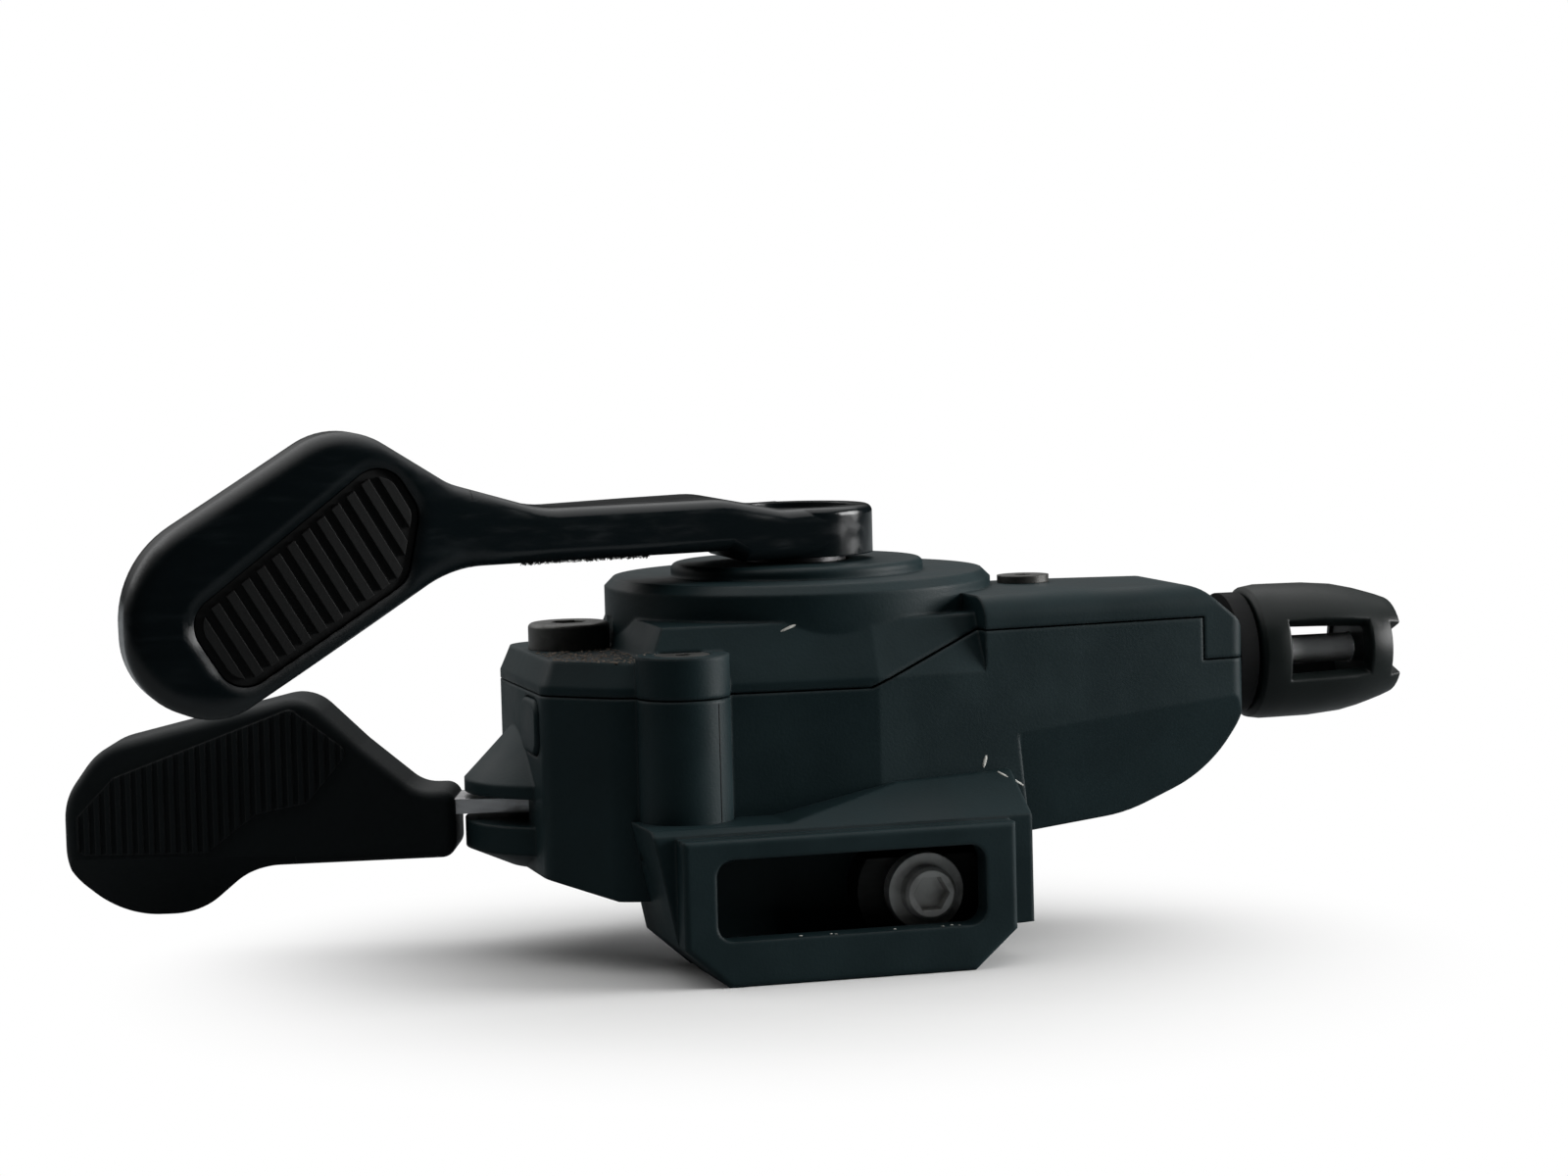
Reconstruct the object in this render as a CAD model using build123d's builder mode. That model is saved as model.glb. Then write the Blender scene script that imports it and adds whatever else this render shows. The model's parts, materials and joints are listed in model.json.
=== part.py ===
from build123d import *
import os
from math import acos, cos, degrees, radians, sin

os.makedirs("parts", exist_ok=True)

# Trigger gear shifter for the right side of a handlebar, in millimetres.
# +X runs to the barrel adjuster, +Y away from the bracket's front face, +Z to the thumb lever.
# The origin is the middle of the clamp slot, on the bracket's front face.

# Gaps
RUN_GAP = 0.3
FIT_GAP = 0.05
SEAM_GAP = 0.15

# Main pivot, from the middle of the clamp slot
PIVOT_X = 3.1
WALL_SETBACK = 7.2

# Case in plan, from the main pivot
CAN_RADIUS = 15.6
CASE_LEFT = 23.6
CASE_RIGHT = 33.0
FRONT_STEP = 1.7
CASE_FRONT = CAN_RADIUS + FRONT_STEP
PIVOT_Y = CASE_FRONT + WALL_SETBACK
BACK_STEP = 0.9
CASE_BACK = CAN_RADIUS + BACK_STEP
CREASE_X = 1.5
LEFT_CORNER_X = 18.4
LEFT_CORNER_SETBACK = 1.7
LEFT_CORNER_Y = CASE_FRONT - LEFT_CORNER_SETBACK
LEFT_FACE_FRONT = 10.2
LEFT_FACE_BACK = 8.0
LEFT_EDGE_ROUND = 2.0
LEFT_CORNER_ROUND = 4.0
BACK_SHOULDER_X = 9.0
BACK_SHOULDER_Y = 11.5
NOSE_SETBACK = 3.1
NOSE_FRONT = CASE_FRONT - NOSE_SETBACK
NOSE_BACK = 2.8
NOSE_ROOT_X = 19.0
NOSE_ROOT_Y = 0.5
NOSE_FRONT_ROUND = 1.2
NOSE_BACK_ROUND = 3.0
NOSE_ROOT_ROUND = 6.0
NOSE_START = 10.5
CASE_WALL = 1.7
NOSE_SOLID_FROM = 12.6

# Case heights
HEEL_BOTTOM = -1.0
HEEL_EDGE = 0.4
HEEL_RIGHT = 13.5
HEEL_SLOPE = 2.0
HEEL_FLAT = 19.0
CASE_BOTTOM = 2.0
BEVEL_START = 15.4
BEVEL_ANGLE = 24.0
LEFT_TOP = 17.3
LEFT_TOP_END = 16.0
CROWN_TOP = 19.8
CROWN_STEP = 1.2
NOSE_TOP = 21.2
NOSE_TOP_ROUND = 1.8
NOSE_TIP_TOP = 17.8
NOSE_TIP_SHOULDER = 29.0
NOSE_TIP_BOTTOM = 10.5
NOSE_CHIN_X = 30.5
NOSE_CHIN_Z = 6.0
NOSE_BELLY_X = 23.5
NOSE_BELLY_Z = 3.0
NOSE_BELLY_START = 13.5
NOSE_SHOULDER_ROUND = 4.0
NOSE_TIP_ROUND = 2.0
NOSE_TIP_LOW_ROUND = 5.0
NOSE_CHIN_ROUND = 9.5
NOSE_BELLY_ROUND = 12.0

# Flat facet along the lower front of the nose
FACET_START = 14.2
FACET_TOP = 10.4
FACET_DEPTH = 4.2
FACET_RISE = 5.5

# Seam between the base and the cover
SEAM_LOW = 14.6
SEAM_HIGH = 18.5
SEAM_RISE_START = 1.0
SEAM_RISE_END = 10.3
TAB_LEFT = 29.3
TAB_BOTTOM = 15.1

# Round can and cap on the cover
CAN_TOP = 22.6
CAN_CHAMFER = 0.7
CAP_RADIUS = 10.2
CAP_TOP = 23.6
CAP_WALL = 1.4
CAP_ROUND = 0.5

# Screw boss on the front wall
BOSS_X = 13.8
BOSS_SETBACK = 1.1
BOSS_Y = CASE_FRONT - BOSS_SETBACK
BOSS_RADIUS = 3.6
BOSS_TOP = 17.9

# Release lever pivot and the round jaws beside it, from the main pivot
RELEASE_X = 18.9
RELEASE_Y = 0.5
JAW_RADIUS = 8.7
JAW_LOW = 1.8
JAW_HIGH = 7.2
JAW_TOP = 11.4
JAW_TOP_RADIUS = 4.7
JAW_KNEE_RADIUS = 5.3
JAW_KNEE = 0.3
PLATE_LOW = 4.5
PLATE_THICKNESS = 1.2
JAW_CLEARANCE = 0.5
JAW_WINDOW_FRONT = 4.8
JAW_WINDOW_BACK = 8.0

# Main axle and its stack, with the pawls' pins set in from the can
PAWL_INSET = 4.0
PAWL_CIRCLE = CAN_RADIUS - PAWL_INSET
AXLE_RADIUS = 2.5
AXLE_FLANGE_RADIUS = 4.2
AXLE_FLANGE = 1.0
BASE_PLATE_LOW = 7.2
BASE_PLATE_THICKNESS = 1.4
BASE_PLATE_GAP = 0.4
POST_OUTSET = 0.6
POST_CIRCLE = PAWL_CIRCLE + POST_OUTSET
POST_RADIUS = 2.0
POST_ANGLES = (60.0, 240.0, 300.0)
SCREW_RADIUS = 1.0
SCREW_HEAD_RADIUS = 1.7
SCREW_HEAD = 1.0
SCREW_SOCKET = 0.5
SCREW_SOCKET_RADIUS = 0.75

# Drum and ratchets
RATCHET_THICKNESS = 1.4
RATCHET_INSET = 3.0
RATCHET_ROOT = PAWL_CIRCLE - RATCHET_INSET
RATCHET_TOOTH = 0.7
RATCHET_TEETH = 24
RATCHET_LIFT = 0.7
DRUM_HEIGHT = 6.5
DRUM_RIM = 0.6
DRUM_RADIUS = RATCHET_ROOT + DRUM_RIM
DRUM_GROOVE_DEPTH = 1.2
DRUM_GROOVE_RADIUS = DRUM_RADIUS - DRUM_GROOVE_DEPTH
DRUM_GROOVE_HALF = 1.3
DRUM_GROOVE_FLOOR = 0.6
DRUM_HUB = 4.0
DRUM_WALL = 2.0
DRUM_POCKET = RATCHET_ROOT - DRUM_WALL
DRUM_POCKET_DEPTH = 4.4
POSITION_RATCHET_BORE = DRUM_POCKET + RUN_GAP

# Pawls
PAWL_PIN_RADIUS = 1.0
PAWL_EYE = 1.7
PAWL_TIP_BEHIND = 38.0
PAWL_TIP_WIDTH = 4.4
PAWL_TIP_LIFT = 0.3
PAWL_TIP_SLACK = 0.8
PAWL_TIP_HEIGHT = 1.9
PAWL_BELLY_INSET = 1.5
PAWL_BELLY = PAWL_CIRCLE - PAWL_BELLY_INSET
PAWL_BELLY_BEHIND = 30.0
PAWL_GAP = 0.05
PAWL_HEAD = 0.5
PAWL_HEAD_RADIUS = 1.5
HOLD_PAWL_ANGLE = 150.0
FEED_PAWL_ANGLE = 230.0
FEED_PAWL_REST = 7.0

# Carrier between the lever and the feed pawl
CARRIER_LOW = 19.0
CARRIER_THICKNESS = 1.2
CARRIER_RADIUS = 7.0
CARRIER_ARM = 3.4
SLEEVE_RADIUS = 4.0

# Main lever
HUB_RADIUS = 6.2
HUB_LOW = 24.1
HUB_TOP = 28.0
HUB_RECESS_RADIUS = 4.4
HUB_RECESS = 1.9
BUSH_WALL = 0.7
AXLE_PROUD = 0.3
PIVOT_BOLT_RADIUS = 1.4
PIVOT_BOLT_LENGTH = 5.5
PIVOT_HEAD = 1.1
PIVOT_HEAD_CHAMFER = 0.3
PIVOT_SOCKET = 1.9
PIVOT_SOCKET_DEPTH = 0.8
ARM_LOW = 25.0
ARM_LOW_START = 7.6
ARM_TOP = 29.1
ARM_TOP_START = 8.0
ARM_TOP_BLEND = 2.8
ARM_END = 23.0
ARM_BACK_MID_X = 14.0
ARM_BACK_MID_Y = 0.5
LEDGE_HEIGHT = 1.5
LEDGE_DEPTH = 1.7
LEDGE_START = 2.6
LEDGE_TURN = 3.0
PAD_X = 44.5
PAD_Z = 24.8
PAD_TILT = 31.5
PAD_HALF_WIDTH = 7.2
PAD_TOP_TIP = 8.7
PAD_TOP_BACK = 11.1
PAD_NOSE = 13.7
PAD_NOSE_DROP = 1.3
PAD_BOTTOM_TIP = 9.2
PAD_BOTTOM_BACK = 12.1
PAD_ROUND = 8.5
PAD_NOSE_ROUND = 6.0
PAD_BOTTOM_ROUND = 5.2
PAD_APEX_ROUND = 6.0
NECK_TOP_X = 30.5
NECK_TOP_Z = 31.4
NECK_ROUND = 9.0
PAD_FACE_RADIUS = 90.0
PAD_FACE_Y = 13.6
PAD_FACE_X = 46.0
PAD_THICKNESS = 4.6
PAD_EDGE_ROUND = 1.2
ARM_EDGE_ROUND = 1.1
HUB_RIM_ROUND = 0.6

# Ribbed insert in the thumb pad, along and across the pad
INSERT_LEFT = 7.2
INSERT_RIGHT = 12.4
INSERT_LOW = 6.0
INSERT_TOP_LEFT = 1.3
INSERT_TOP_RIGHT = 3.2
INSERT_CUT_X = 8.6
INSERT_CUT_Y = 2.0
INSERT_ROUND = 2.4
INSERT_DEPTH = 0.9
INSERT_FLOOR = 0.45
INSERT_GAP = 0.12
INSERT_RIB_PITCH = 1.45
INSERT_RIB_WIDTH = 0.75
INSERT_RIB_SLANT = -1.0
INSERT_RIB_MARGIN = 0.7
INSERT_RIB_SINK = 0.05
INSERT_RIBS = 13
INSERT_RIB_CENTRE = 2.6

# Release paddle, along its own arm from the release pivot
PADDLE_TURN = 17.0
PADDLE_ROOT = 9.2
PADDLE_LOW = 1.1
PADDLE_HIGH = 6.5
PADDLE_NECK = 12.2
PADDLE_RISE_X = 16.6
PADDLE_RISE_Z = 10.2
PADDLE_APEX_X = 20.9
PADDLE_APEX_Z = 14.4
PADDLE_TIP = 40.4
PADDLE_TIP_HIGH = 6.4
PADDLE_TIP_LOW = 0.6
PADDLE_TOP_INSET = 3.0
PADDLE_TOP_X = PADDLE_TIP - PADDLE_TOP_INSET
PADDLE_TOP_Z = 10.5
PADDLE_CHIN_INSET = 3.8
PADDLE_CHIN_X = PADDLE_TIP - PADDLE_CHIN_INSET
PADDLE_CHIN_Z = -3.6
PADDLE_HEEL_INSET = 10.0
PADDLE_HEEL_X = PADDLE_TIP - PADDLE_HEEL_INSET
PADDLE_HEEL_Z = -3.5
PADDLE_WAIST_INSET = 15.0
PADDLE_WAIST_X = PADDLE_TIP - PADDLE_WAIST_INSET
PADDLE_WAIST_Z = 0.7
PADDLE_HALF = 3.7
PADDLE_ROOT_ROUND = 1.2
PADDLE_NECK_ROUND = 3.0
PADDLE_RISE_ROUND = 6.0
PADDLE_APEX_ROUND = 3.5
PADDLE_TIP_ROUND = 5.0
PADDLE_CHIN_ROUND = 6.5
PADDLE_WAIST_ROUND = 6.0
PADDLE_EDGE_ROUND = 0.9
PADDLE_BACK_ROUND = 1.0
CREASE_LOW = 1.6
CREASE_DEPTH = 4.4
CREASE_END = 22.0
PLATE_ARM = 5.6
PLATE_HUB = 4.2
PLATE_TAIL = 8.4
PLATE_TAIL_WIDTH = 4.0
PLATE_REACH = 16.0

# Fine ribs on the paddle
FIELD_RAISE = 0.4
FIELD_GROOVE = 0.3
FIELD_PITCH = 0.86
FIELD_GROOVE_WIDTH = 0.42
FIELD_GROOVES = 27
FIELD_START = 17.0
FIELD_MARGIN = 1.1
FIELD_ROUND = 0.7
FIELD_LOW = 2.0
FIELD_TIP_HIGH = 5.0
FIELD_TOP_RIGHT = 8.1
FIELD_LEFT_X = 17.5
FIELD_LEFT_Z = 9.8
FIELD_STEP_X = 20.9
FIELD_STEP_Z = 5.8
FIELD_WAIST_X = 25.0
FIELD_WAIST_Z = 5.0
FIELD_BEND_X = 29.0

# Release bolt, spacer and springs
RELEASE_BOLT_RADIUS = 1.5
RELEASE_HEAD_RADIUS = 3.25
RELEASE_HEAD = 2.1
RELEASE_HEAD_ROUND = 0.4
RELEASE_BOLT_LOW = 0.6
RELEASE_SEAT = 4.3
RELEASE_SEAT_RADIUS = 2.6
SPACER_WALL = 0.5
SPRING_CLEAR = 0.3
RELEASE_WIRE = 0.25
RELEASE_COIL_RADIUS = 2.45
RELEASE_COIL_PITCH = 0.8
RELEASE_COIL_TURNS = 3
DRUM_WIRE = 0.45
DRUM_COIL_RADIUS = (DRUM_HUB + DRUM_POCKET) / 2
DRUM_COIL_PITCH = 1.25
DRUM_COIL_TURNS = 4
STRIP_THICKNESS = 0.5
STRIP_HEIGHT = 1.3
STRIP_INNER = 4.7
STRIP_PITCH = 1.2
STRIP_HALF_TURNS = 5

# Cover screws
NOSE_SCREW_X = 17.9
NOSE_SCREW_Y = 4.0
BACK_SCREW_X = 16.2
BACK_SCREW_Y = 7.0
COVER_SCREW_RADIUS = 1.1
COVER_SCREW_LENGTH = 8.0
COVER_HEAD_RADIUS = 2.1
COVER_HEAD = 0.6
COVER_HEAD_CLEAR = 0.6
COLUMN_RADIUS = 2.4

# Cable port plug on the left end
PLUG_Y = 6.4
PLUG_Z = 12.0
PLUG_WIDTH = 5.6
PLUG_HEIGHT = 4.6
PLUG_PROUD = 0.35
PLUG_RECESS = 0.7
PLUG_STEM_RADIUS = 1.6
PLUG_ROUND = 1.5

# Barrel adjuster, along X from the main pivot
CABLE_OUTSET = 0.5
ADJUSTER_Y = DRUM_GROOVE_RADIUS + CABLE_OUTSET
ADJUSTER_Z = 15.0
SEAL_RADIUS = 4.9
SEAL_LENGTH = 1.6
SLEEVE_START = 34.9
SLEEVE_END = 47.6
SLEEVE_BIG = 5.45
SLEEVE_MID = 5.3
SLEEVE_MID_X = 42.0
SLEEVE_SMALL = 3.9
SLEEVE_BORE = 3.9
WINDOW_START = 36.8
WINDOW_END = 43.8
WINDOW_HEIGHT = 5.2
WINDOW_ROUND = 0.9
WINDOWS = 3
NOTCH_DEPTH = 1.2
NOTCH_HEIGHT = 4.6
SOCKET_RADIUS = 2.6
TUBE_RADIUS = 1.15
TUBE_BORE = 0.75
TUBE_START = 25.0
SOCKET_FLOOR = 0.6

# Clamp bracket, from the slot's middle
FRAME_HALF = 13.1
FRAME_TOP = 4.6
FRAME_BOTTOM = -6.6
FRAME_CHAMFER_X = 3.4
FRAME_CHAMFER_Z = 3.0
FRAME_DEPTH = 2.2
FRAME_ROUND = 0.4
LEDGE_LEFT = 14.9
LEDGE_RIGHT = 15.1
LEDGE_LOW = -3.5
SHELF_LEFT = 5.2
SHELF_LEFT_END = -4.0
SHELF_MID_X = 5.5
SHELF_MID = 7.3
SHELF_RIGHT = 7.7
SHELF_FRONT = 4.8
SHELF_SLOPE_DEPTH = 5.4
SHELF_SLOPE_RISE = 3.2
BRACKET_DEPTH = 12.5
SLOT_HALF = 10.6
SLOT_HALF_HEIGHT = 3.1
SLOT_ROUND = 1.3
CHANNEL_SPARE = 2.1
CHANNEL_LOW = -4.3
CHANNEL_HIGH = 3.5
CHANNEL_END = 9.0
CHANNEL_ROUND = 1.4
LINE_DEPTH = 0.3
LINE_WIDTH = 0.3
LINE_Y = 1.1

# Clamp bolt and the nut plate that slides in the channel behind the slot
CLAMP_X = 7.2
CLAMP_Z = -1.0
CLAMP_TRAVEL = 12.0
CLAMP_SHANK = 2.0
CLAMP_COLLAR = 2.05
CLAMP_COLLAR_FRONT = 3.2
CLAMP_FLANGE = 3.0
CLAMP_FLANGE_FRONT = 4.6
CLAMP_SOCKET = 1.45
CLAMP_SOCKET_DEPTH = 1.3
CLAMP_COLLAR_CHAMFER = 0.25
WASHER_HALF = 5.1
WASHER_HALF_HEIGHT = 2.6
WASHER_FRONT = 6.0
WASHER_ARC = 0.8
CHANNEL_LEFT = CLAMP_TRAVEL + WASHER_HALF - CLAMP_X + CHANNEL_SPARE
CHANNEL_RIGHT = CLAMP_X + WASHER_HALF + RUN_GAP
BRACKET_SCREW_RIGHT = 8.6
BRACKET_SCREW_LEFT = 13.0
BRACKET_SCREW_SETBACK = 3.55
BRACKET_SCREW_Y = CASE_FRONT - BRACKET_SCREW_SETBACK
BRACKET_SCREW_LENGTH = 7.0
BRACKET_HEAD_RADIUS = 1.5
BRACKET_HEAD_LOW = -3.5

pivot = Plane(origin=(PIVOT_X, PIVOT_Y, 0))
front = Plane(origin=(PIVOT_X, PIVOT_Y, 0), x_dir=(1, 0, 0), z_dir=(0, -1, 0))
release = Plane(origin=(PIVOT_X - RELEASE_X, PIVOT_Y + RELEASE_Y, 0))
FAR = 80.0


def wall_y(u):
    """The front wall's place, right of the crease, at u from the main pivot."""
    slope = (CASE_FRONT - NOSE_FRONT) / (CASE_RIGHT - CREASE_X)
    return -CASE_FRONT + slope * (u - CREASE_X)


# Outer form of the closed case, later split along the seam
case_points = [
    (-CASE_LEFT, -LEFT_FACE_FRONT),
    (-LEFT_CORNER_X, -LEFT_CORNER_Y),
    (CREASE_X, -CASE_FRONT),
    (CASE_RIGHT, -NOSE_FRONT),
    (CASE_RIGHT, -NOSE_BACK),
    (NOSE_ROOT_X, NOSE_ROOT_Y),
    (BACK_SHOULDER_X, BACK_SHOULDER_Y),
    (-BACK_SHOULDER_X, BACK_SHOULDER_Y),
    (-CASE_LEFT, LEFT_FACE_BACK),
]
case_rounds = [
    LEFT_EDGE_ROUND,
    LEFT_CORNER_ROUND,
    0,
    NOSE_FRONT_ROUND,
    NOSE_BACK_ROUND,
    NOSE_ROOT_ROUND,
    0,
    0,
    LEFT_CORNER_ROUND,
]
CROWN_RIGHT = NOSE_START + CASE_WALL + CASE_WALL
with BuildPart() as case:
    with BuildSketch(pivot.offset(HEEL_BOTTOM)):
        Circle(CASE_BACK)
        with BuildLine():
            FilletPolyline(case_points, radius=case_rounds, close=True)
        make_face()
    extrude(amount=BEVEL_START - HEEL_BOTTOM)
    with BuildSketch(pivot.offset(BEVEL_START)):
        with BuildLine():
            FilletPolyline(
                [
                    (-CASE_LEFT, -LEFT_FACE_FRONT),
                    (-LEFT_CORNER_X, -LEFT_CORNER_Y),
                    (CREASE_X, -CASE_FRONT),
                    (CROWN_RIGHT, wall_y(CROWN_RIGHT)),
                    (CROWN_RIGHT, 0),
                    (BACK_SHOULDER_X, BACK_SHOULDER_Y),
                    (-BACK_SHOULDER_X, BACK_SHOULDER_Y),
                    (-CASE_LEFT, LEFT_FACE_BACK),
                ],
                radius=[LEFT_EDGE_ROUND, LEFT_CORNER_ROUND, 0, 0, 0, 0, 0, LEFT_CORNER_ROUND],
                close=True,
            )
        make_face()
    extrude(amount=CROWN_TOP - BEVEL_START, taper=BEVEL_ANGLE)
    with BuildSketch(pivot.offset(BEVEL_START)):
        with BuildLine():
            FilletPolyline(
                [
                    (NOSE_START, wall_y(NOSE_START)),
                    (CASE_RIGHT, -NOSE_FRONT),
                    (CASE_RIGHT, -NOSE_BACK),
                    (NOSE_ROOT_X, NOSE_ROOT_Y),
                    (NOSE_START - CASE_WALL, NOSE_ROOT_Y),
                ],
                radius=[0, NOSE_FRONT_ROUND, NOSE_BACK_ROUND, NOSE_ROOT_ROUND, 0],
                close=True,
            )
        make_face()
    extrude(amount=NOSE_TOP - BEVEL_START)
    fillet(case.edges().group_by(Axis.Z)[-1].sort_by(Axis.X)[1:], NOSE_TOP_ROUND)
    with BuildSketch(front):
        with BuildLine():
            FilletPolyline(
                [
                    (-CASE_LEFT, HEEL_EDGE),
                    (-CASE_LEFT, LEFT_TOP),
                    (-LEFT_TOP_END, LEFT_TOP),
                    (CROWN_STEP - LEFT_TOP_END, CROWN_TOP),
                    (NOSE_START - CASE_WALL - CROWN_STEP, CROWN_TOP),
                    (NOSE_START - CASE_WALL, NOSE_TOP),
                    (NOSE_TIP_SHOULDER, NOSE_TOP),
                    (CASE_RIGHT, NOSE_TIP_TOP),
                    (CASE_RIGHT, NOSE_TIP_BOTTOM),
                    (NOSE_CHIN_X, NOSE_CHIN_Z),
                    (NOSE_BELLY_X, NOSE_BELLY_Z),
                    (NOSE_BELLY_START, CASE_BOTTOM),
                    (-HEEL_RIGHT, CASE_BOTTOM),
                    (-HEEL_RIGHT - HEEL_SLOPE, HEEL_BOTTOM),
                    (-HEEL_FLAT, HEEL_BOTTOM),
                ],
                radius=[
                    0,
                    0,
                    0,
                    0,
                    0,
                    0,
                    NOSE_SHOULDER_ROUND,
                    NOSE_TIP_ROUND,
                    NOSE_TIP_LOW_ROUND,
                    NOSE_CHIN_ROUND,
                    NOSE_BELLY_ROUND,
                    0,
                    0,
                    0,
                    0,
                ],
                close=True,
            )
        make_face()
    extrude(amount=FAR, both=True, mode=Mode.INTERSECT)
    wall_run = Vector(CASE_RIGHT - CREASE_X, CASE_FRONT - NOSE_FRONT, 0).normalized()
    wall_in = Vector(-wall_run.Y, wall_run.X, 0)
    facet_run = wall_run * cos(radians(FACET_RISE)) + Vector(0, 0, sin(radians(FACET_RISE)))
    facet_origin = (PIVOT_X + FACET_START, PIVOT_Y + wall_y(FACET_START), 0)
    with BuildSketch(Plane(origin=facet_origin, x_dir=wall_in, z_dir=facet_run)):
        with BuildLine():
            Polyline(
                (0, FACET_TOP),
                (FACET_DEPTH, HEEL_BOTTOM),
                (-FACET_DEPTH, HEEL_BOTTOM),
                (-FACET_DEPTH, FACET_TOP),
                close=True,
            )
        make_face()
    extrude(amount=CASE_RIGHT, mode=Mode.SUBTRACT)
    with BuildSketch(Plane(release.origin, x_dir=(1, 0, 0), z_dir=(0, -1, 0))):
        with BuildLine():
            Polyline(
                (0, HEEL_BOTTOM),
                (JAW_KNEE_RADIUS, JAW_KNEE),
                (JAW_RADIUS, JAW_LOW),
                (JAW_RADIUS, JAW_HIGH),
                (JAW_TOP_RADIUS, JAW_TOP),
                (0, JAW_TOP),
                close=True,
            )
        make_face()
    revolve(axis=Axis(release.origin, (0, 0, 1)))
    with BuildSketch(pivot.offset(CASE_BOTTOM)):
        with Locations((-BOSS_X, -BOSS_Y)):
            Circle(BOSS_RADIUS)
    extrude(amount=BOSS_TOP - CASE_BOTTOM)
    with BuildSketch(pivot.offset(SEAM_LOW)):
        Circle(CAN_RADIUS)
    extrude(amount=CAN_TOP - SEAM_LOW)


def turned(plane, low, high, outer, inner=0.0, mode=Mode.ADD):
    """Adds or cuts a round bar or tube that stands on a plane."""
    with BuildSketch(plane.offset(low)) as ring:
        Circle(outer)
        if inner:
            Circle(inner, mode=Mode.SUBTRACT)
    extrude(ring.sketch, amount=high - low, mode=mode)


def at_pivot(x, y):
    """A level plane whose origin stands at a place measured from the main pivot."""
    return Plane(origin=(PIVOT_X + x, PIVOT_Y + y, 0))


def polar(radius, angle):
    """A place in plan at a radius and an angle round the main pivot."""
    return (radius * cos(radians(angle)), radius * sin(radians(angle)))


def finish(builder, name):
    """Labels a finished piece and writes its file."""
    builder.part.label = name
    export_step(builder.part, f"parts/{name}.step")


# Heights that follow from the sizes above
FLOOR = CASE_BOTTOM + CASE_WALL
CEILING = LEFT_TOP - CASE_WALL
CAN_CEILING = CAN_TOP - CASE_WALL
CAP_CEILING = CAP_TOP - CAP_WALL
CAN_BORE = CAN_RADIUS - CASE_WALL
PLATE_TOP = PLATE_LOW + PLATE_THICKNESS
BASE_PLATE_TOP = BASE_PLATE_LOW + BASE_PLATE_THICKNESS
POSITION_LOW = BASE_PLATE_TOP + RATCHET_LIFT
DRUM_LOW = POSITION_LOW + RATCHET_THICKNESS
DRUM_TOP = DRUM_LOW + DRUM_HEIGHT
FEED_TOP = DRUM_TOP + RATCHET_THICKNESS
CARRIER_TOP = CARRIER_LOW + CARRIER_THICKNESS
AXLE_BORE = AXLE_RADIUS + FIT_GAP
BUSH_RADIUS = AXLE_BORE + BUSH_WALL
RECESS_FLOOR = HUB_TOP - HUB_RECESS


def under_seam(gap):
    """Cuts away or keeps what lies under the seam, raised by a gap."""
    with BuildSketch(front) as below:
        with BuildLine():
            Polyline(
                (-FAR, -FAR),
                (-FAR, SEAM_LOW + gap),
                (SEAM_RISE_START - gap, SEAM_LOW + gap),
                (SEAM_RISE_END - gap, SEAM_HIGH + gap),
                (TAB_LEFT + gap, SEAM_HIGH + gap),
                (TAB_LEFT + gap, TAB_BOTTOM + gap),
                (FAR, TAB_BOTTOM + gap),
                (FAR, -FAR),
                close=True,
            )
        make_face()
    return below.sketch


# Space inside the closed case
with BuildPart() as cavity:
    with BuildSketch(pivot.offset(FLOOR)):
        with BuildLine():
            FilletPolyline(case_points, radius=case_rounds, close=True)
        make_face()
        Circle(CASE_BACK)
        offset(amount=-CASE_WALL, mode=Mode.REPLACE)
        with Locations((NOSE_SOLID_FROM, 0)):
            Rectangle(FAR, FAR, align=(Align.MIN, Align.CENTER), mode=Mode.SUBTRACT)
    extrude(amount=CEILING - FLOOR)
    turned(pivot, FLOOR, CAN_CEILING, CAN_BORE)
    turned(pivot, FLOOR, CAP_CEILING, CAP_RADIUS - CAP_WALL)

post_planes = [at_pivot(*polar(POST_CIRCLE, angle)) for angle in POST_ANGLES]
bracket_screw_planes = [
    at_pivot(BRACKET_SCREW_RIGHT, -BRACKET_SCREW_Y),
    at_pivot(-BRACKET_SCREW_LEFT, -BRACKET_SCREW_Y),
]
bracket_screw_top = BRACKET_HEAD_LOW + SCREW_HEAD + BRACKET_SCREW_LENGTH
back_screw = at_pivot(-BACK_SCREW_X, BACK_SCREW_Y)
boss_screw = at_pivot(-BOSS_X, -BOSS_Y)
nose_screw = at_pivot(NOSE_SCREW_X, -NOSE_SCREW_Y)
# Each cover screw as its place and the height of its head's seat
cover_screw_seats = [
    (boss_screw, BOSS_TOP - COVER_HEAD),
    (nose_screw, NOSE_TOP),
    (back_screw, LEFT_TOP),
]
cable_line = Plane(
    origin=(PIVOT_X, PIVOT_Y - ADJUSTER_Y, ADJUSTER_Z), x_dir=(0, 1, 0), z_dir=(1, 0, 0)
)
left_face = Plane(
    origin=(PIVOT_X - CASE_LEFT, PIVOT_Y - PLUG_Y, PLUG_Z), x_dir=(0, -1, 0), z_dir=(-1, 0, 0)
)

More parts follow.
